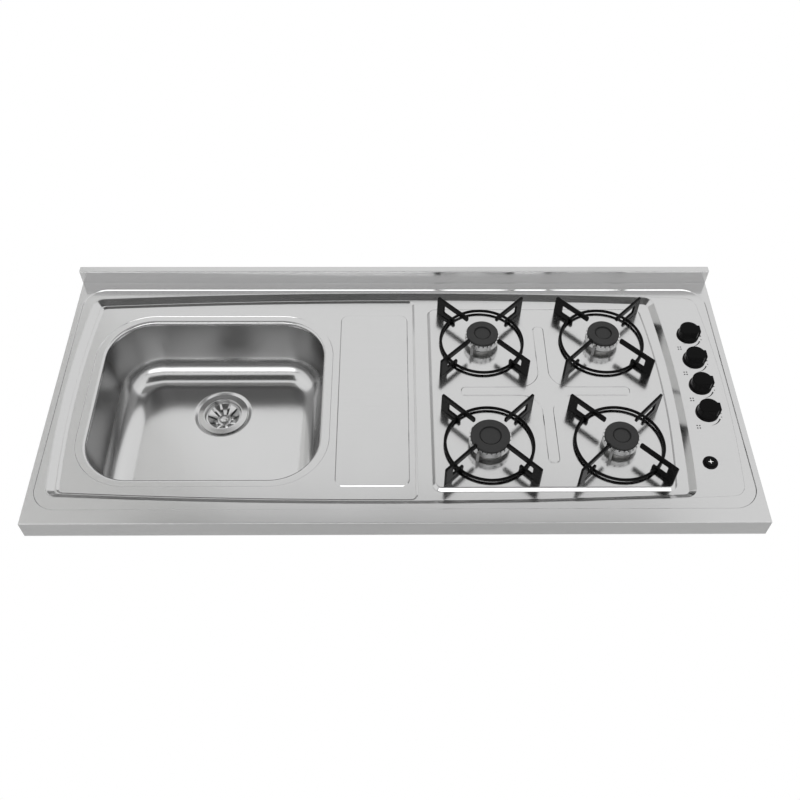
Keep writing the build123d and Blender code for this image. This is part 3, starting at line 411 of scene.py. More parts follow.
class Skin:
    """Mesh in the making, built as rings of vertices with bands and fills between them."""

    def __init__(self, place: Matrix | None = None) -> None:
        """Start an empty mesh whose local axes lie as place says."""
        self.mesh = bmesh.new()
        self.place = place or Matrix.Identity(4)

    def ring(self, spots: Iterable[Spot], height: float) -> Ring:
        """Closed ring of vertices at one height."""
        return [self.mesh.verts.new(self.place @ (Vector((x, y, height)) * MM)) for x, y in spots]

    def face(self, spots: Iterable[Spot], height: float) -> None:
        """One flat face at one height."""
        self.mesh.faces.new(self.ring(spots, height))

    def holes(self, places: Iterable[tuple[Spot, float]], height: float, count: int) -> list[Ring]:
        """Rings of round holes, each given by its centre and radius."""
        return [self.ring(Outline.circle(spot, radius, count).points, height) for spot, radius in places]

    def band(self, one: Ring, two: Ring) -> None:
        """Join two rings of equal count, or a ring and a single point, with faces.

        Args:
            one: First ring.
            two: Second ring.
        """
        if len(one) == len(two) == 1:
            return
        count = max(len(one), len(two))
        for i in range(count):
            j = (i + 1) % count
            corners = [one[i % len(one)], one[j % len(one)], two[j % len(two)], two[i % len(two)]]
            self.mesh.faces.new(list(dict.fromkeys(corners)))

    def fill(self, *rings: Ring) -> None:
        """Close the flat between an outer ring and any rings inside it.

        Args:
            rings: The rings that bound the flat.
        """
        edges = []
        for ring in rings:
            for one, two in zip(ring, ring[1:] + ring[:1]):
                edges.append(self.mesh.edges.get((one, two)) or self.mesh.edges.new((one, two)))
        bmesh.ops.triangle_fill(self.mesh, edges=edges, use_beauty=True)

    def steps(self, outline: Outline, profile: Sequence[Spot]) -> tuple[Ring, Ring]:
        """Sweep a profile of inward distances and heights round an outline.

        Args:
            outline: Line that the profile goes round.
            profile: Inward distance and height of each ring.

        Returns:
            First and last ring.
        """
        rings = [self.ring(outline.points - outline.normals * inward, height) for inward, height in profile]
        for one, two in zip(rings, rings[1:]):
            self.band(one, two)
        return rings[0], rings[-1]

    def press(self, outline: Outline, level: float, change: float, run: float, first: float, last: float,
              flat: float = 0.5) -> tuple[Ring, Ring]:
        """Sweep a pressed step with both bends rounded round an outline.

        Args:
            outline: Line that the step goes round.
            level: Height where it starts.
            change: How far it goes down (negative) or up.
            run: How far it goes inward.
            first: Radius of the first bend.
            last: Radius of the last bend.
            flat: Width of the level strip at either end.

        Returns:
            First and last ring.
        """
        slope = atan2(abs(change), run)
        sign = 1 if change > 0 else -1
        begin, end = first * tan(slope / 2), last * tan(slope / 2)
        profile = [(-begin - flat, level)]
        for angle in np.linspace(0, slope, arc_steps(first, slope, least=4) + 1):
            profile.append((-begin + first * sin(angle), level + sign * first * (1 - cos(angle))))
        for angle in np.linspace(slope, 0, arc_steps(last, slope, least=4) + 1):
            profile.append((run + end - last * sin(angle), level + change - sign * last * (1 - cos(angle))))
        return self.steps(outline, profile + [(run + end + flat, level + change)])

    def plate(self, outline: Outline, low: float, high: float, edge: float) -> None:
        """Closed plate with its edges rounded.

        Args:
            outline: Shape of the plate.
            low: Height of its lower face.
            high: Height of its upper face.
            edge: Radius of the rounding.
        """
        angles = np.linspace(0, pi / 2, 5)
        profile = [(edge * (1 - sin(a)), low + edge * (1 - cos(a))) for a in angles]
        profile += [(edge * (1 - cos(a)), high - edge * (1 - sin(a))) for a in angles]
        for ring in self.steps(outline, profile):
            self.mesh.faces.new(ring)

    def turn(self, section: Sequence[Corner], centre: Spot, count: int) -> None:
        """Turn a closed section, given as corners of radius, height and rounding, about an upright axis.

        Args:
            section: Corners of the section.
            centre: Place of the axis.
            count: Number of steps round the axis.
        """
        angles = np.arange(count) * 2 * pi / count
        rings = []
        for radius, height in Outline.rounded(section).points:
            around = angles if radius > 1e-6 else [0.0]
            spots = [(centre[0] + radius * cos(a), centre[1] + radius * sin(a)) for a in around]
            rings.append(self.ring(spots, height))
        for one, two in zip(rings, rings[1:] + rings[:1]):
            self.band(one, two)

    def to_mesh(self, name: str, open_face: bool = False) -> bpy.types.Mesh:
        """Close the work and return it as a plain mesh, with its normals made to agree.

        Args:
            name: Name of the mesh.
            open_face: Whether it is one face of a sheet, which has to look up.

        Returns:
            The mesh, smooth but for its sharp edges.
        """
        bmesh.ops.recalc_face_normals(self.mesh, faces=self.mesh.faces)
        mesh = bpy.data.meshes.new(name)
        self.mesh.to_mesh(mesh)
        self.mesh.free()
        mesh.shade_smooth()
        mesh.set_sharp_from_angle(angle=SHARP)
        if open_face:
            flats = [face for face in mesh.polygons if abs(face.normal.z) > LEVEL]
            if max(flats, key=lambda face: face.area).normal.z < 0:
                mesh.flip_normals()
        return mesh


class RadialArray:
    """Geometry Nodes tree that repeats a mesh about an upright axis."""

    def __init__(self) -> None:
        """Build the tree with its named inputs."""
        self.tree = bpy.data.node_groups.new("radial_array", "GeometryNodeTree")
        sockets = self.tree.interface
        kinds = {"Geometry": "Geometry", "Count": "Int", "Centre": "Vector", "Start": "Float",
                 "Finish": "Material"}
        self.ids = {
            name: sockets.new_socket(name, in_out="INPUT", socket_type=f"NodeSocket{kind}").identifier
            for name, kind in kinds.items()}
        sockets.new_socket("Geometry", in_out="OUTPUT", socket_type="NodeSocketGeometry")
        given = add_node(self.tree, "NodeGroupInput").outputs
        points = add_node(self.tree, "GeometryNodePoints",
                          inputs={"Count": given["Count"], "Position": given["Centre"]})
        index = add_node(self.tree, "GeometryNodeInputIndex")
        pitch = add_node(self.tree, "ShaderNodeMath", {"operation": "DIVIDE"}, {0: 2 * pi, 1: given["Count"]})
        angle = add_node(self.tree, "ShaderNodeMath", {"operation": "MULTIPLY_ADD"},
                         {0: index.outputs[0], 1: pitch.outputs[0], 2: given["Start"]})
        turned = add_node(self.tree, "ShaderNodeCombineXYZ", inputs={"Z": angle.outputs[0]})
        placed = add_node(self.tree, "GeometryNodeInstanceOnPoints", inputs={
            "Points": points.outputs[0], "Instance": given["Geometry"], "Rotation": turned.outputs[0]})
        real = add_node(self.tree, "GeometryNodeRealizeInstances", inputs={"Geometry": placed.outputs[0]})
        dressed = add_node(self.tree, "GeometryNodeSetMaterial",
                           inputs={"Geometry": real.outputs[0], "Material": given["Finish"]})
        add_node(self.tree, "NodeGroupOutput", inputs={"Geometry": dressed.outputs[0]})

    def repeat(self, mesh: bpy.types.Mesh, count: int, centre: Spot, start: float,
               finish: Finish) -> Skin:
        """Repeat a mesh that is modelled about the origin.

        Args:
            mesh: Mesh to repeat.
            count: How many times.
            centre: Place of the axis in mm.
            start: Angle of the first in degrees.
            finish: Finish of the result.

        Returns:
            The repeated mesh, with no instances left, to be built on.
        """
        holder = link("array_source", mesh)
        modifier = holder.modifiers.new("radial_array", "NODES")
        modifier.node_group = self.tree
        modifier[self.ids["Count"]] = count
        modifier[self.ids["Centre"]] = (centre[0] * MM, centre[1] * MM, 0.0)
        modifier[self.ids["Start"]] = radians(start)
        modifier[self.ids["Finish"]] = finish.material()
        depsgraph = bpy.context.evaluated_depsgraph_get()
        skin = Skin()
        skin.mesh.from_mesh(bpy.data.meshes.new_from_object(holder.evaluated_get(depsgraph)))
        bpy.data.objects.remove(holder)
        return skin


def make_piece(name: str, mesh: bpy.types.Mesh, finish: Finish, body: str,
               nodes: Sequence[str] = (), wall: float = 0.0) -> bpy.types.Object:
    """Turn a mesh into a finished piece of the object.

    Args:
        name: Name of the piece.
        mesh: Its mesh, in place.
        finish: Its finish.
        body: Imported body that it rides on.
        nodes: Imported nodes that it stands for.
        wall: Sheet thickness in mm, where the mesh is one face of a sheet.

    Returns:
        The piece.
    """
    piece = link(name, mesh)
    mesh.materials.clear()
    mesh.materials.append(finish.material())
    if wall:
        solid = piece.modifiers.new("sheet", "SOLIDIFY")
        solid.thickness = wall * MM
        solid.offset = -1
        solid.use_even_offset = True
    piece.modifiers.new("flat_faces", "WEIGHTED_NORMAL").keep_sharp = True
    if nodes:
        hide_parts(*nodes)
    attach(piece, body)
    LOG.info("%s: %d faces on %s", name, len(mesh.polygons), body)
    return piece


@dataclass
class Worktop:
    """Pressed sheet with skirts, bead, barrel recess, drainboard, hob plateau and rear upstand."""

    burners: Sequence["Burner"]
    controls: "Controls"
    # Border: flange, skirt, bead and rear upstand
    width: float = 1200.0
    depth: float = 547.0
    sheet: float = 0.8
    skirt: float = 38.0
    bend: float = 0.9
    flange: float = 14.0
    hem: float = 1.5
    bead_y: float = -2.5
    bead_size: Spot = (1180.0, 490.0)
    bead_radius: float = 42.0
    upstand: float = 31.0
    upstand_depth: float = 14.0
    # Barrel recess, its edges at the panel and the sink, and the narrow strips between steps
    half_width: float = 582.0
    half_depth: float = 236.7
    side_bow: float = 12.0
    long_bow: float = 15.5
    barrel_y: float = -0.8
    panel_x: float = 503.0
    panel_bow: float = 12.0
    step_x: float = 36.3
    slope: float = 53.0
    rim: float = 1.5
    shelf: float = 0.95
    close: float = 0.1
    # Levels
    field_z: float = 36.2
    hob_z: float = 27.5
    sink_z: float = 24.5
    ledge_z: float = 23.3
    # Ledge of the bowl, drainboard and cross
    ledge_size: Spot = (433.5, 381.0)
    ledge_radius: float = 99.0
    lip_bend: float = 5.0
    board_centre: Spot = (-39.6, -5.0)
    board_size: Spot = (125.0, 383.0)
    board_radius: float = 15.0
    board_rise: float = 2.0
    cross_rise: float = 1.0

    def barrel(self, left: float, left_bow: float, right: float, right_bow: float, radius: float,
               inset: float = 0.0) -> Outline:
        """Outline between two sides, closed by the barrel's long edges.

        Args:
            left: X of the left corners.
            left_bow: How far the left side bows out.
            right: X of the right corners.
            right_bow: How far the right side bows out; nought is straight.
            radius: Corner radius.
            inset: Distance inside the barrel's long edges.

        Returns:
            The outline.
        """
        chord = self.half_width - self.side_bow
        long = (chord**2 + self.long_bow**2) / (2 * self.long_bow)
        arcs = []
        for end, bow, hand in ((right, right_bow, 1), (left, left_bow, -1)):
            half = self.half_depth - long + sqrt(long**2 - end**2) - inset
            span = (half**2 + bow**2) / (2 * bow) if bow else STRAIGHT
            arcs.append((end + hand * (bow - span), self.barrel_y, span))
            arcs.append((0.0, self.barrel_y + hand * (self.half_depth - inset - long), long))
        return Outline.bowed(arcs, ((left + right) / 2, self.barrel_y), radius)

    def plateau(self) -> Outline:
        """Hob plateau with its bowed right side."""
        left, right, bow, front, back, corner = 60.0, 463.0, 14.0, -208.5, 199.5, 15.0
        half, middle = (back - front) / 2, (back + front) / 2
        span = (half**2 + bow**2) / (2 * bow)
        inside = ((left + right) / 2, middle)
        arcs = [(right + bow - span, middle, span), (inside[0], back - STRAIGHT, STRAIGHT),
                (left + STRAIGHT, middle, STRAIGHT), (inside[0], front + STRAIGHT, STRAIGHT)]
        return Outline.bowed(arcs, inside, corner)

    def cross(self) -> Outline:
        """Stiffening cross between the burners."""
        x, y, arm, tip, hollow = 265.2, -2.5, 10.0, 8.0, 36.0
        long_x, long_y = 149.5, 153.0
        corners = [(long_x, -arm, tip), (long_x, arm, tip), (arm, arm, hollow), (arm, long_y, tip),
                   (-arm, long_y, tip), (-arm, arm, hollow), (-long_x, arm, tip), (-long_x, -arm, tip),
                   (-arm, -arm, hollow), (-arm, -long_y, tip), (arm, -long_y, tip), (arm, -arm, hollow)]
        return Outline.rounded([(x + a, y + b, r) for a, b, r in corners])

    def build(self) -> bpy.types.Mesh:
        """Build the sheet's upper face from its skirt inward, one pressed step after another.

        Returns:
            One open face, to be given its thickness.
        """
        skin = Skin()
        lean = tan(radians(self.slope))
        bends = np.linspace(0, pi / 2, 7)
        profile = [(self.flange, 0.0), (self.hem, 0.0)]
        profile += [(self.hem * (1 - sin(a)), self.hem * (1 - cos(a))) for a in bends[1:]]
        profile += [(self.bend * (1 - cos(a)), self.skirt - self.bend * (1 - sin(a))) for a in bends]
        line = Outline.rectangle((0, 0), self.width, self.depth, 0.0)
        _, border = skin.steps(line, profile + [(self.bend + STRIP, self.skirt)])

        line = Outline.rectangle((0, self.bead_y), *self.bead_size, self.bead_radius)
        rise = self.field_z - self.skirt
        outer, inner = skin.press(line, self.skirt, rise, run=1.35, first=0.6, last=0.6)
        skin.fill(border, outer)

        end = self.half_width - self.side_bow
        line = self.barrel(-end, self.side_bow, end, self.side_bow, radius=22.0)
        rise = PANEL_Z - self.field_z
        outer, panel = skin.press(line, self.field_z, rise, run=0.5, first=0.3, last=0.3, flat=self.close)
        skin.fill(inner, outer)

        drop = PANEL_Z - self.hob_z
        line = self.barrel(self.rim - end, self.side_bow, self.panel_x - self.panel_bow, self.panel_bow,
                           radius=20.0, inset=self.rim)
        outer, hob = skin.press(line, PANEL_Z, -drop, drop * lean, first=1.6, last=1.0, flat=self.close)
        skin.fill(panel, outer, *skin.holes(self.controls.holes(), PANEL_Z, 32))

        inset = self.rim + drop * lean + self.shelf
        line = self.barrel(inset - end, self.side_bow, self.step_x, 0.0, radius=12.0, inset=inset)
        drop = self.hob_z - self.sink_z
        sink_edge, sink = skin.press(line, self.hob_z, -drop, drop * lean, first=0.8, last=2.2,
                                     flat=self.close)
        rise = DECK_Z - self.hob_z
        plateau_edge, plateau = skin.press(self.plateau(), self.hob_z, rise, rise, first=1.6, last=3.0)
        skin.fill(hob, sink_edge, plateau_edge)

        line = Outline.rectangle(self.board_centre, *self.board_size, self.board_radius)
        board_edge, board_top = skin.press(line, self.sink_z, self.board_rise, run=1.7, first=0.6, last=0.7)
        skin.fill(board_top)
        line = Outline.rectangle(BOWL_CENTRE, *self.ledge_size, self.ledge_radius)
        rise = self.ledge_z - self.sink_z
        ledge_edge, ledge_flat = skin.press(line, self.sink_z, rise, run=0.9, first=0.6, last=0.6)
        skin.fill(sink, board_edge, ledge_edge)
        line = Outline.rectangle(BOWL_CENTRE, *BOWL_SIZE, BOWL_RADIUS)
        turn = [(-self.lip_bend * (1 - sin(a)), self.ledge_z - self.lip_bend * (1 - cos(a))) for a in bends]
        lip_edge, _ = skin.steps(line, [(-self.lip_bend - STRIP, self.ledge_z)] + turn + [(0.0, LIP_Z)])
        skin.fill(ledge_flat, lip_edge)

        cross_edge, cross_top = skin.press(self.cross(), DECK_Z, self.cross_rise, run=1.25, first=0.5,
                                           last=0.5)
        skin.fill(cross_top)
        places = [place for burner in self.burners for place in burner.holes()]
        skin.fill(plateau, cross_edge, *skin.holes(places, DECK_Z, 48))
        return skin.to_mesh("top_sheet_skin", open_face=True)

    def build_upstand(self) -> bpy.types.Mesh:
        """Folded rear upstand as a closed bar with rounded edges.

        Returns:
            The mesh.
        """
        place = Matrix(((0, 0, 1, 0), (1, 0, 0, 0), (0, 1, 0, 0), (0, 0, 0, 1)))
        skin = Skin(place)
        back, front, top = self.depth / 2, self.depth / 2 - self.upstand_depth, self.skirt + self.upstand
        line = Outline.rounded([(back, self.skirt - 2, 1.0), (back, top, 2.0), (front, top, 2.0),
                                (front, self.skirt - 0.2, 1.4)])
        skin.plate(line, -self.width / 2, self.width / 2, 1.0)
        return skin.to_mesh("upstand")

    def dress(self) -> None:
        """Make the sheet and its upstand into pieces."""
        make_piece("worktop_skin", self.build(), SATIN_STEEL, "unit", ["top_sheet"],
                   self.sheet)
        make_piece("worktop_upstand", self.build_upstand(), SATIN_STEEL, "unit")


@dataclass
class SinkBowl:
    """Deep-drawn bowl with drafted walls, a rounded floor edge and a recess for the drain."""

    draft: float = 4.0
    floor_radius: float = 46.0
    floor_z: float = -111.5
    sheet: float = 0.8
    recess: float = 54.0
    recess_drop: float = 2.4
    hole: float = 37.5

    def build(self) -> bpy.types.Mesh:
        """Build the inside face of the bowl.

        Returns:
            One open face, to be given its thickness.
        """
        skin = Skin()
        lean = radians(self.draft)
        pivot_z = self.floor_z + self.floor_radius
        pivot = (LIP_Z - pivot_z) * tan(lean) + self.floor_radius / cos(lean)
        profile = [(0.0, LIP_Z)]
        for angle in np.linspace(lean, pi / 2, 28):
            profile.append((pivot - self.floor_radius * cos(angle), pivot_z - self.floor_radius * sin(angle)))
        profile.append((pivot + STRIP, self.floor_z))
        line = Outline.rectangle(BOWL_CENTRE, *BOWL_SIZE, BOWL_RADIUS)
        _, floor = skin.steps(line, profile)
        line = Outline.circle(DRAIN_CENTRE, self.recess, 96)
        edge, foot = skin.press(line, self.floor_z, -self.recess_drop, run=5.5, first=9.0, last=0.8)
        inward = line.normals * (self.recess - self.hole)
        skin.band(foot, skin.ring(line.points - inward, self.floor_z - self.recess_drop))
        skin.fill(floor, edge)
        return skin.to_mesh("sink_bowl_skin", open_face=True)

    def dress(self) -> None:
        """Make the bowl a piece."""
        make_piece("sink_bowl_skin", self.build(), DRAWN_STEEL, "unit", ["sink_bowl"],
                   self.sheet)


@dataclass
class Drain:
    """Flanged drain cup in the bowl floor and its lift-out basket."""

    array: RadialArray
    top: float = -110.7
    flange: float = 47.0
    bore: float = 34.5
    wall: float = 2.2
    cup: float = 42.0
    outlet: float = 23.9
    outlet_bore: float = 20.9
    outlet_length: float = 30.0
    ledge: float = 3.0
    seat: float = -119.7
    petals: int = 10
    slot: float = 3.6
    dish: float = 31.1
    floor: float = -132.7
    floor_radius: float = 14.0
    tuck: float = 1.5
    belly: float = 0.8
    hub: tuple[Corner, ...] = ((9.4, 1.4, 0.8), (8.6, 6.6, 1.6), (4.0, 8.2, 1.0), (0.0, 8.2, 0.0))
    sheet: float = 1.2

    def build_body(self) -> bpy.types.Mesh:
        """Turned cup with a rolled flange and an outlet.

        Returns:
            The mesh.
        """
        skin = Skin()
        bottom, side = self.top - self.cup, self.bore + self.wall
        skin.turn([(self.bore, self.top, 0.9), (side, self.top, 1.5), (self.flange, self.top - 1.0, 0.7),
                   (self.flange, self.top - 2.0, 0.3), (side, self.top - 2.0, 0.3), (side, bottom, 1.5),
                   (self.outlet, bottom, 0.5), (self.outlet, bottom - self.outlet_length, 0.5),
                   (self.outlet_bore, bottom - self.outlet_length, 0.5),
                   (self.outlet_bore, bottom + self.wall, 0.5),
                   (self.bore - self.ledge, bottom + self.wall + self.ledge, 1.0),
                   (self.bore - self.ledge, self.seat, 0.5), (self.bore, self.seat, 0.5)], DRAIN_CENTRE, 96)
        return skin.to_mesh("drain_body_turned")

    def build_basket(self) -> bpy.types.Mesh:
        """Basket: rim ring, floor with a hub, and petals repeated between the slots.

        Returns:
            The mesh.
        """
        petal = Skin()
        ends = (self.floor_radius - self.tuck, self.dish + 0.5)
        half = [pi / self.petals - self.slot / 2 / r for r in ends]
        slant = (self.dish - self.floor_radius, self.seat - self.floor)
        grid = []
        for share in np.linspace(0, 1, 6):
            reach = ends[0] + (slant[0] + 2.0) * share
            rise = self.floor + slant[1] * share + self.belly * sin(pi * share)
            spread = half[0] + (half[1] - half[0]) * share
            angles = np.linspace(-spread, spread, 7)
            row = [petal.ring([(reach * cos(a), reach * sin(a)) for a in angles], rise + lift)
                   for lift in (0.0, self.sheet)]
            grid.append(row[0] + row[1][::-1])
        for one, two in zip(grid, grid[1:]):
            petal.band(one, two)
        petal.mesh.faces.new(grid[0])
        petal.mesh.faces.new(grid[-1])
        mesh = petal.to_mesh("basket_petal")
        skin = self.array.repeat(mesh, self.petals, DRAIN_CENTRE, 180 / self.petals, BUFFED_STEEL)
        inner, outer, low, high = self.dish - 1.2, self.bore - 0.4, self.seat, self.seat + self.sheet
        skin.turn([(inner, low, 0.3), (outer, low, 0.3), (outer, high, 0.5), (inner, high, 0.5)],
                  DRAIN_CENTRE, 72)
        low = self.floor
        skin.turn([(0.0, low, 0.0), (self.floor_radius, low, 0.4), (self.floor_radius, low + 1.4, 0.5),
                   *((reach, low + rise, edge) for reach, rise, edge in self.hub)], DRAIN_CENTRE, 48)
        return skin.to_mesh("drain_basket_pressed")

    def dress(self) -> None:
        """Make cup and basket pieces."""
        make_piece("drain_body_turned", self.build_body(), BUFFED_STEEL, "unit",
                   ["drain_body"])
        make_piece("drain_basket_pressed", self.build_basket(), BUFFED_STEEL, "basket",
                   ["drain_basket"])


@dataclass
class Burner:
    """One gas burner: cap, ported crown, the trivet over it and its holes in the plateau."""

    array: RadialArray
    name: str
    x: float
    y: float
    cap: float
    recess: float
    body: float
    ports: int
    # Crown with its ports, foot and stub, and its room in the cup
    crown_low: float = 42.3
    crown_high: float = 56.1
    crown_floor: float = 3.0
    port_height: float = 4.2
    port_width: float = 1.8
    tooth_root: float = 0.5
    wall: float = 3.2
    overhang: float = 2.0
    throat: float = 7.5
    stub: float = 9.0
    stub_length: float = 14.0
    spigot_length: float = 4.0
    spigot_gap: float = 1.9
    spigot_wall: float = 2.0
    # Cap with its recess, groove and the register that sits in the crown
    cap_height: float = 4.2
    cap_recess: float = 2.2
    groove: Spot = (2.2, 1.6)
    register: float = 3.0
    register_gap: float = 0.3
    register_wall: float = 2.0
    # Holes in the plateau for cup and electrode
    cup_gap: float = 0.6
    electrode_gap: float = 5.2
    electrode_angle: float = 235.0
    electrode_hole: float = 2.9
    # Trivet: ring of wire, and plate fingers with a bar on top and a window under it
    ring: Spot = (72.4, 77.6)
    ring_levels: Spot = (2.6, 7.8)
    ring_edge: float = 2.4
    fingers: int = 4
    first_finger: float = 45.0
    trivet_height: float = 40.0
    reach: float = 110.5
    tip: float = 36.0
    bar: float = 10.5
    window: float = 94.0
    heel: float = 97.5
    root: float = 67.0
    root_height: float = 10.0
    plate: float = 4.5
    plate_edge: float = 0.8

    @property
    def centre(self) -> Spot:
        """Place of the burner's axis."""
        return self.x, self.y

    def electrode(self) -> Spot:
        """Place of the spark electrode."""
        reach, angle = self.cap + self.electrode_gap, radians(self.electrode_angle)
        return self.x + reach * cos(angle), self.y + reach * sin(angle)

    def holes(self) -> list[tuple[Spot, float]]:
        """Holes in the plateau for the cup and the electrode."""
        return [(self.centre, self.body + self.cup_gap), (self.electrode(), self.electrode_hole)]

    def build_cap(self) -> bpy.types.Mesh:
        """Enamelled cap with a shallow round recess and a skirt that sits in the crown.

        Returns:
            The mesh.
        """
        skin = Skin()
        low = self.crown_high
        high = low + self.cap_height
        floor = high - self.cap_recess
        seat = self.cap + self.overhang - self.wall - self.register_gap
        bore, foot = seat - self.register_wall, low - self.register
        bed, inside = floor - self.groove[1], self.recess - self.groove[0]
        skin.turn([(0.0, low, 0.0), (bore, low, 0.3), (bore, foot, 0.3), (seat, foot, 0.3), (seat, low, 0.3),
                   (self.cap, low, 0.8), (self.cap, high, 1.5), (self.recess, high, 0.4),
                   (self.recess, bed, 0.3), (inside, bed, 0.3), (inside, floor, 0.3), (0.0, floor, 0.0)],
                  self.centre, 96)
        return skin.to_mesh(f"cap_{self.name}")

    def build_crown(self) -> bpy.types.Mesh:
        """Crown: turned wall with a foot, and the teeth that leave the flame ports open.

        Returns:
            The mesh.
        """
        outer = self.cap + self.overhang
        inner = outer - self.wall
        sill = self.crown_high - self.port_height
        tooth = Skin()
        half = [pi / self.ports - self.port_width / 2 / r for r in (inner, outer)]
        root = (inner * cos(half[0]), inner * sin(half[0]))
        face = (outer * cos(half[1]), outer * sin(half[1]))
        line = Outline.rounded([(root[0], -root[1], 0.2), (face[0], -face[1], 0.4), (outer, 0.0, 0.3),
                                (*face, 0.4), (*root, 0.2)])
        tooth.plate(line, sill - self.tooth_root, self.crown_high, edge=0.15)
        mesh = tooth.to_mesh("crown_tooth")
        skin = self.array.repeat(mesh, self.ports, self.centre, 180 / self.ports, CROWN_ALLOY)
        spigot = self.body - self.spigot_gap
        low, bore = self.crown_low, spigot - self.spigot_wall
        end, foot, floor = low - self.stub_length, low - self.spigot_length, low + self.crown_floor
        skin.turn([(self.throat, end, 0.4), (self.stub, end, 0.4), (self.stub, low, 0.5), (bore, low, 0.5),
                   (bore, foot, 0.4), (spigot, foot, 0.4), (spigot, low, 0.3), (outer, low, 1.2),
                   (outer, sill, 0.3), (inner, sill, 0.3), (inner, floor, 1.0), (self.throat, floor, 0.5)],
                  self.centre, 96)
        return skin.to_mesh(f"crown_{self.name}")

    def build_trivet(self) -> bpy.types.Mesh:
        """Trivet: ring of round wire and four upright plate fingers.

        Returns:
            The mesh.
        """
        top = self.trivet_height
        under = top - self.bar
        shape = Outline.rounded([(self.reach, 0.0, 1.2), (self.reach, top, 2.5), (self.tip, top, 3.0),
                                 (self.tip, under, 2.5), (self.window, under, 2.0),
                                 (self.window, self.root_height, 2.0), (self.root, self.root_height, 2.0),
                                 (self.root, 1.0, 1.0), (self.heel, 1.0, 0.9), (self.heel, 0.0, 0.9)])
        finger = Skin(Matrix(((1, 0, 0, 0), (0, 0, -1, 0), (0, 1, 0, DECK_Z * MM), (0, 0, 0, 1))))
        finger.plate(shape, -self.plate / 2, self.plate / 2, self.plate_edge)
        mesh = finger.to_mesh("trivet_finger")
        skin = self.array.repeat(mesh, self.fingers, self.centre, self.first_finger, BLACK_ENAMEL)
        (inner, outer), edge = self.ring, self.ring_edge
        low, high = (DECK_Z + level for level in self.ring_levels)
        skin.turn([(inner, low, edge), (inner, high, edge), (outer, high, edge), (outer, low, edge)],
                  self.centre, 128)
        return skin.to_mesh(f"trivet_{self.name}")

    def dress(self) -> None:
        """Make cap, crown and trivet pieces."""
        make_piece(f"cap_{self.name}_enamelled", self.build_cap(), CAP_ENAMEL, f"cap_{self.name}",
                   [f"burner_cap_{self.name}"])
        make_piece(f"crown_{self.name}_ported", self.build_crown(), CROWN_ALLOY, f"crown_{self.name}",
                   [f"burner_crown_{self.name}"])
        make_piece(f"trivet_{self.name}_enamelled", self.build_trivet(), BLACK_ENAMEL,
                   f"trivet_{self.name}", [f"trivet_{self.name}"])


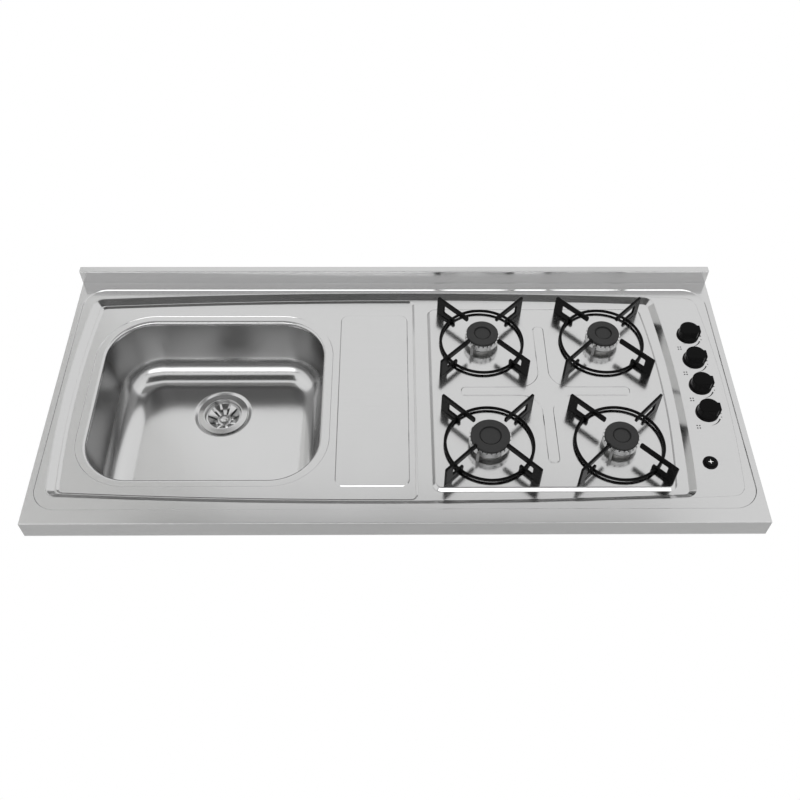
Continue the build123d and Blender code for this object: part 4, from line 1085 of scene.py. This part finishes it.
@dataclass
class Controls:
    """Four knobs and the spark button on the panel, with their printed marks."""

    # Knobs
    knob_x: float = 538.6
    knob_ys: tuple[float, ...] = (121.8, 62.3, 2.8, -56.7)
    stem_hole: float = 6.0
    gap: float = 4.0
    skirt_radius: float = 20.2
    skirt: float = 6.0
    skirt_crown: float = 0.4
    height: float = 19.5
    grip_radius: float = 17.5
    grip_flat: float = 12.0
    grip_root: float = 1.5
    pointer: float = 19.8
    pointer_half: float = 8.5
    # Button with its dish, and its bezel
    button: Spot = (525.0, -157.6)
    button_hole: float = 11.4
    button_radius: float = 9.6
    button_rise: float = 3.6
    button_length: float = 17.6
    button_gap: float = 0.25
    dish_radii: Spot = (6.5, 4.5)
    dish_depth: float = 0.25
    bezel_radius: float = 12.6
    bezel_rise: float = 2.4
    barrel_radius: float = 11.0
    barrel_length: float = 26.0
    barrel_floor: float = 1.2
    # Printed star, arcs, drops and dots
    star_radii: Spot = (5.0, 1.3)
    star_depth: float = 0.22
    ink: float = 0.03
    arc_radius: float = 24.0
    arc_angles: Spot = (-78.0, -24.0)
    arc_widths: Spot = (0.15, 1.3)
    drops: tuple[Corner, ...] = ((25.5, -6.0, 1.0), (25.8, 2.5, 1.3))
    drop_point: float = 1.4
    dots: Spot = (-18.3, -26.5)
    dot_pitch: Spot = (2.2, 2.6)
    dot_radius: float = 1.4

    def holes(self) -> list[tuple[Spot, float]]:
        """Holes in the panel for the stems and the button."""
        return [((self.knob_x, y), self.stem_hole) for y in self.knob_ys] + [(self.button, self.button_hole)]

    def grip(self, y: float) -> Outline:
        """Outline of a knob's grip: round, with a flat in front and a blunt pointer to the right.

        Args:
            y: Place of the knob along the panel.

        Returns:
            The outline.
        """
        root, flat = asin(self.pointer_half / self.grip_radius), asin(self.grip_flat / self.grip_radius)
        bows = []
        for start, end in ((root, pi + flat), (-flat, -root)):
            angles = np.linspace(start, end, 2 + ceil((end - start) / radians(6)))
            bows.append([(self.grip_radius * cos(a), self.grip_radius * sin(a)) for a in angles])
        corners = [(self.pointer, -self.pointer_half, 1.6), (self.pointer, self.pointer_half, 1.6)]
        for bow in bows:
            corners += [(*bow[0], 1.2)] + [(*spot, 0.0) for spot in bow[1:-1]] + [(*bow[-1], 1.2)]
        return Outline.rounded([(self.knob_x + a, y + b, r) for a, b, r in corners])

    def build_knob(self, y: float) -> bpy.types.Mesh:
        """Knob: round skirt with a rolled edge and the grip on it.

        Args:
            y: Place of the knob along the panel.

        Returns:
            The mesh.
        """
        skin = Skin()
        low = PANEL_Z + self.gap
        top = low + self.skirt
        skin.turn([(0.0, low, 0.0), (self.skirt_radius, low, 0.6), (self.skirt_radius, top, 2.0),
                   (0.0, top + self.skirt_crown, 0.0)], (self.knob_x, y), 72)
        skin.plate(self.grip(y), top - self.grip_root, low + self.height, edge=1.0)
        return skin.to_mesh("knob_moulded")

    def build_button(self) -> bpy.types.Mesh:
        """Push button with a rounded rim and a shallow dish.

        Returns:
            The mesh.
        """
        skin = Skin()
        top = PANEL_Z + self.button_rise
        low, dish = top - self.button_length, top - self.dish_depth
        (wide, narrow), side = self.dish_radii, self.button_radius
        skin.turn([(0.0, low, 0.0), (side, low, 0.4), (side, top, 1.0), (wide, top, 1.5), (narrow, dish, 1.5),
                   (0.0, dish, 0.0)], self.button, 64)
        return skin.to_mesh("igniter_button_moulded")

    def build_bezel(self) -> bpy.types.Mesh:
        """Round housing with a rolled bezel over the panel.

        Returns:
            The mesh.
        """
        skin = Skin()
        low, rim = PANEL_Z - self.barrel_length, PANEL_Z + self.bezel_rise
        bore, floor = self.button_radius + self.button_gap, low + self.barrel_floor
        skin.turn([(0.0, low, 0.0), (self.barrel_radius, low, 0.8), (self.barrel_radius, PANEL_Z, 0.2),
                   (self.bezel_radius, PANEL_Z, 0.3), (self.bezel_radius, rim, 1.4), (bore, rim, 0.5),
                   (bore, floor, 0.5), (0.0, floor, 0.0)], self.button, 64)
        return skin.to_mesh("igniter_bezel_moulded")

    def build_star(self) -> bpy.types.Mesh:
        """Plain four-point spark printed in the button's dish.

        Returns:
            The mesh.
        """
        skin = Skin()
        x, y = self.button
        spots = []
        for point in range(8):
            reach, angle = self.star_radii[point % 2], point * pi / 4
            spots.append((x + reach * cos(angle), y + reach * sin(angle), 0.0))
        skin.face(Outline.rounded(spots).points, PANEL_Z + self.button_rise - self.star_depth)
        return skin.to_mesh("igniter_star")

    def build_marks(self) -> bpy.types.Mesh:
        """Printed marks by each knob: a tapering arc, two drops and four dots.

        Returns:
            The mesh.
        """
        skin = Skin()
        level = PANEL_Z + self.ink
        angles, widths = np.radians(np.linspace(*self.arc_angles, 15)), np.linspace(*self.arc_widths, 15)
        for y in self.knob_ys:
            outer, inner = ([(self.knob_x + (self.arc_radius + side * w) * cos(a),
                              y + (self.arc_radius + side * w) * sin(a)) for a, w in zip(angles, widths)]
                            for side in (1, -1))
            skin.face(outer + inner[::-1], level)
            for x, rise, size in self.drops:
                drop = Outline.circle((self.knob_x + x, y + rise), size, 16).points
                drop[4, 1] += self.drop_point * size
                skin.face(drop, level)
            for across in (-1, 1):
                for along in (-1, 1):
                    spot = (self.knob_x + self.dots[0] + across * self.dot_pitch[0],
                            y + self.dots[1] + along * self.dot_pitch[1])
                    skin.face(Outline.circle(spot, self.dot_radius, 12).points, level)
        return skin.to_mesh("panel_marks")

    def dress(self) -> None:
        """Make knobs, button, bezel and marks pieces."""
        for number, y in enumerate(self.knob_ys, start=1):
            knob = make_piece(f"knob_{number}_moulded", self.build_knob(y), KNOB_PHENOLIC, f"stem_{number}",
                              [f"knob_{number}"])
            knob.visible_glossy = False
        make_piece("igniter_button_moulded", self.build_button(), BUTTON_ABS, "button",
                   ["igniter_button"])
        make_piece("igniter_bezel_moulded", self.build_bezel(), BUTTON_ABS, "unit",
                   ["igniter_housing"])
        make_piece("igniter_star", self.build_star(), WHITE_INK, "button")
        make_piece("panel_marks", self.build_marks(), BLACK_INK, "unit")


# Half the floor's width in metres, and the tones of the cards
FLOOR = 9.0
TONES = {"dim": "#505050", "grey": "#8C8C8C", "pale": "#D0D0D0", "light": "#E6E6E6"}
# Azimuth in degrees with 0 in front and 90 on the right, elevation in degrees, and distance in metres
Aim = tuple[float, float, float]
CARDS: dict[str, tuple[Aim, Spot, str]] = {
    "card_top": ((0, 70, 4.0), (4.2, 2.0), "dim"),
    "card_top_back": ((180, 74, 4.0), (3.2, 1.5), "grey"),
    "card_front": ((0, 39.5, 4.0), (7.0, 0.3), "dim"),
    "card_back": ((180, 11, 4.0), (4.0, 1.7), "grey"),
    "card_side_1": ((130, 0, 4.0), (3.4, 1.7), "grey"),
    "card_side_-1": ((230, 0, 4.0), (3.4, 1.7), "grey"),
    "card_left_back": ((226, 28, 4.0), (1.8, 1.2), "pale"),
    "card_left_high": ((222, 46, 4.25), (1.2, 2.4), "light"),
    "card_low": ((0, -40, 1.08), (4.0, 0.5), "pale"),
}


@dataclass
class Studio:
    """Pale floor, soft light, grey cards that only reflections see, and the camera."""

    floor_z: float = -0.9
    lens: float = 43.195
    sensor: float = 36.0
    eye: tuple[float, float, float] = (-9.0416, -1054.0128, 1363.1483)
    pitch: float = 0.91081692
    yaw: float = -0.01600127
    roll: float = 0.01103038

    def plain(self, name: str, colour: str, seen: float) -> bpy.types.Material:
        """Plain matt material, or one that is seen as white from above and not at all from below.

        Args:
            name: Name of the material.
            colour: sRGB colour of the matt part.
            seen: Strength of that white; nought leaves the material matt.

        Returns:
            The material.
        """
        made = bpy.data.materials.new(name)
        made.use_nodes = True
        tree = made.node_tree
        matt = tree.nodes["Principled BSDF"]
        matt.inputs["Base Color"].default_value = linear(colour)
        matt.inputs["Roughness"].default_value = 0.9
        if seen:
            rays = add_node(tree, "ShaderNodeLightPath").outputs
            share = rays["Is Camera Ray"]
            for kind in ("Is Glossy Ray", "Is Transmission Ray"):
                share = add_node(tree, "ShaderNodeMath", {"operation": "MAXIMUM"},
                                 {0: share, 1: rays[kind]}).outputs[0]
            white = add_node(tree, "ShaderNodeEmission", inputs={"Strength": seen})
            shown = add_node(tree, "ShaderNodeMixShader",
                             inputs={0: share, 1: matt.outputs[0], 2: white.outputs[0]})
            side = add_node(tree, "ShaderNodeNewGeometry")
            clear = add_node(tree, "ShaderNodeBsdfTransparent")
            above = add_node(tree, "ShaderNodeMixShader",
                             inputs={0: side.outputs["Backfacing"], 1: shown.outputs[0], 2: clear.outputs[0]})
            tree.links.new(above.outputs[0], tree.nodes["Material Output"].inputs["Surface"])
        return made

    def card(self, name: str, place: Aim, size: Spot, material: bpy.types.Material) -> None:
        """Flat card that faces the unit and is seen by reflections only.

        Args:
            name: Name of the card.
            place: Where it stands.
            size: Width and height in metres.
            material: Its material.
        """
        mesh = bpy.data.meshes.new(name)
        w, h = size[0] / 2, size[1] / 2
        mesh.from_pydata([(-w, -h, 0), (w, -h, 0), (w, h, 0), (-w, h, 0)], [], [(0, 1, 2, 3)])
        mesh.materials.append(material)
        made = link(name, mesh)
        self.aim(made, place)
        made.visible_camera = made.visible_diffuse = made.visible_shadow = False

    def aim(self, thing: bpy.types.Object, place: Aim) -> None:
        """Put a thing on a sphere about the unit, facing it.

        Args:
            thing: Card or lamp.
            place: Where it stands.
        """
        turn, rise = radians(place[0]), radians(place[1])
        way = Vector((sin(turn) * cos(rise), -cos(turn) * cos(rise), sin(rise)))
        facing = way.to_track_quat("Z", "Y").to_matrix().to_4x4()
        thing.matrix_world = Matrix.Translation(way * place[2]) @ facing

    def lamp(self, name: str, place: Aim, size: Spot, radiance: float) -> None:
        """Rectangular soft lamp of a given brightness.

        Args:
            name: Name of the lamp.
            place: Where it stands.
            size: Width and height in metres.
            radiance: Brightness, where one is white.
        """
        data = bpy.data.lights.new(name, "AREA")
        data.shape = "RECTANGLE"
        data.size, data.size_y = size
        data.energy = radiance * pi * size[0] * size[1]
        self.aim(link(name, data), place)

    def light(self) -> None:
        """White world, floor, cards and one lamp."""
        scene = bpy.context.scene
        scene.view_settings.view_transform = "Standard"
        world = bpy.data.worlds.new("studio")
        scene.world = world
        world.use_nodes = True
        world.node_tree.nodes["Background"].inputs["Color"].default_value = (1, 1, 1, 1)
        floor = bpy.data.meshes.new("floor")
        corners = [(-FLOOR, -FLOOR), (FLOOR, -FLOOR), (FLOOR, FLOOR), (-FLOOR, FLOOR)]
        floor.from_pydata([(x, y, self.floor_z) for x, y in corners], [], [(0, 1, 2, 3)])
        floor.materials.append(self.plain("studio_floor", "#F4F4F2", 1.0))
        ground = link("floor", floor)
        tones = {tone: self.plain(f"studio_card_{tone}", colour, 0.0) for tone, colour in TONES.items()}
        for name, (place, size, tone) in CARDS.items():
            self.card(name, place, size, tones[tone])
        self.lamp("lamp_front", (0, 29, 4.0), (5.0, 1.25), 1.9)

    def camera(self) -> None:
        """Camera at the photograph's place and angle."""
        data = bpy.data.cameras.new("camera")
        data.lens, data.sensor_width = self.lens, self.sensor
        made = link("camera", data)
        turn = Matrix.Rotation(self.yaw, 3, "Z")
        forward = turn @ Vector((0, cos(self.pitch), -sin(self.pitch)))
        right, up = turn @ Vector((1, 0, 0)), turn @ Vector((0, sin(self.pitch), cos(self.pitch)))
        level, tilt = cos(self.roll), sin(self.roll)
        axes = Matrix((level * right + tilt * up, level * up - tilt * right, -forward)).transposed()
        made.matrix_world = Matrix.Translation(Vector(self.eye) * MM) @ axes.to_4x4()
        bpy.context.scene.camera = made


def dress_nodes() -> None:
    """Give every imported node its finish."""
    for name, node in frame["nodes"].items():
        finish = next(made for prefix, made in NODE_FINISH.items() if name.startswith(prefix))
        for place in node.material_slots:
            place.material = finish.material()
        LOG.info("%s: %s", name, finish.name)


def main() -> None:
    """Build the sub-assemblies in order, then the studio."""
    logging.basicConfig(level=logging.INFO, format="%(message)s")
    array = RadialArray()
    # Radii of cap, cap recess and body, and the number of ports
    small, large = (28.7, 15.5, 21.0, 24), (33.4, 18.9, 24.0, 28)
    burners = [Burner(array, *row) for row in (
        ("rear_right", 378.6, 111.7, *small), ("rear_left", 158.1, 111.7, *small),
        ("front_left", 158.1, -117.7, *large), ("front_right", 378.6, -117.7, *small))]
    controls = Controls()
    dress_nodes()
    for piece in (Worktop(burners, controls), SinkBowl(), Drain(array), *burners, controls):
        piece.dress()
    studio = Studio()
    studio.light()
    studio.camera()
    bpy.data.node_groups.remove(array.tree)


if __name__ == "__main__":
    main()
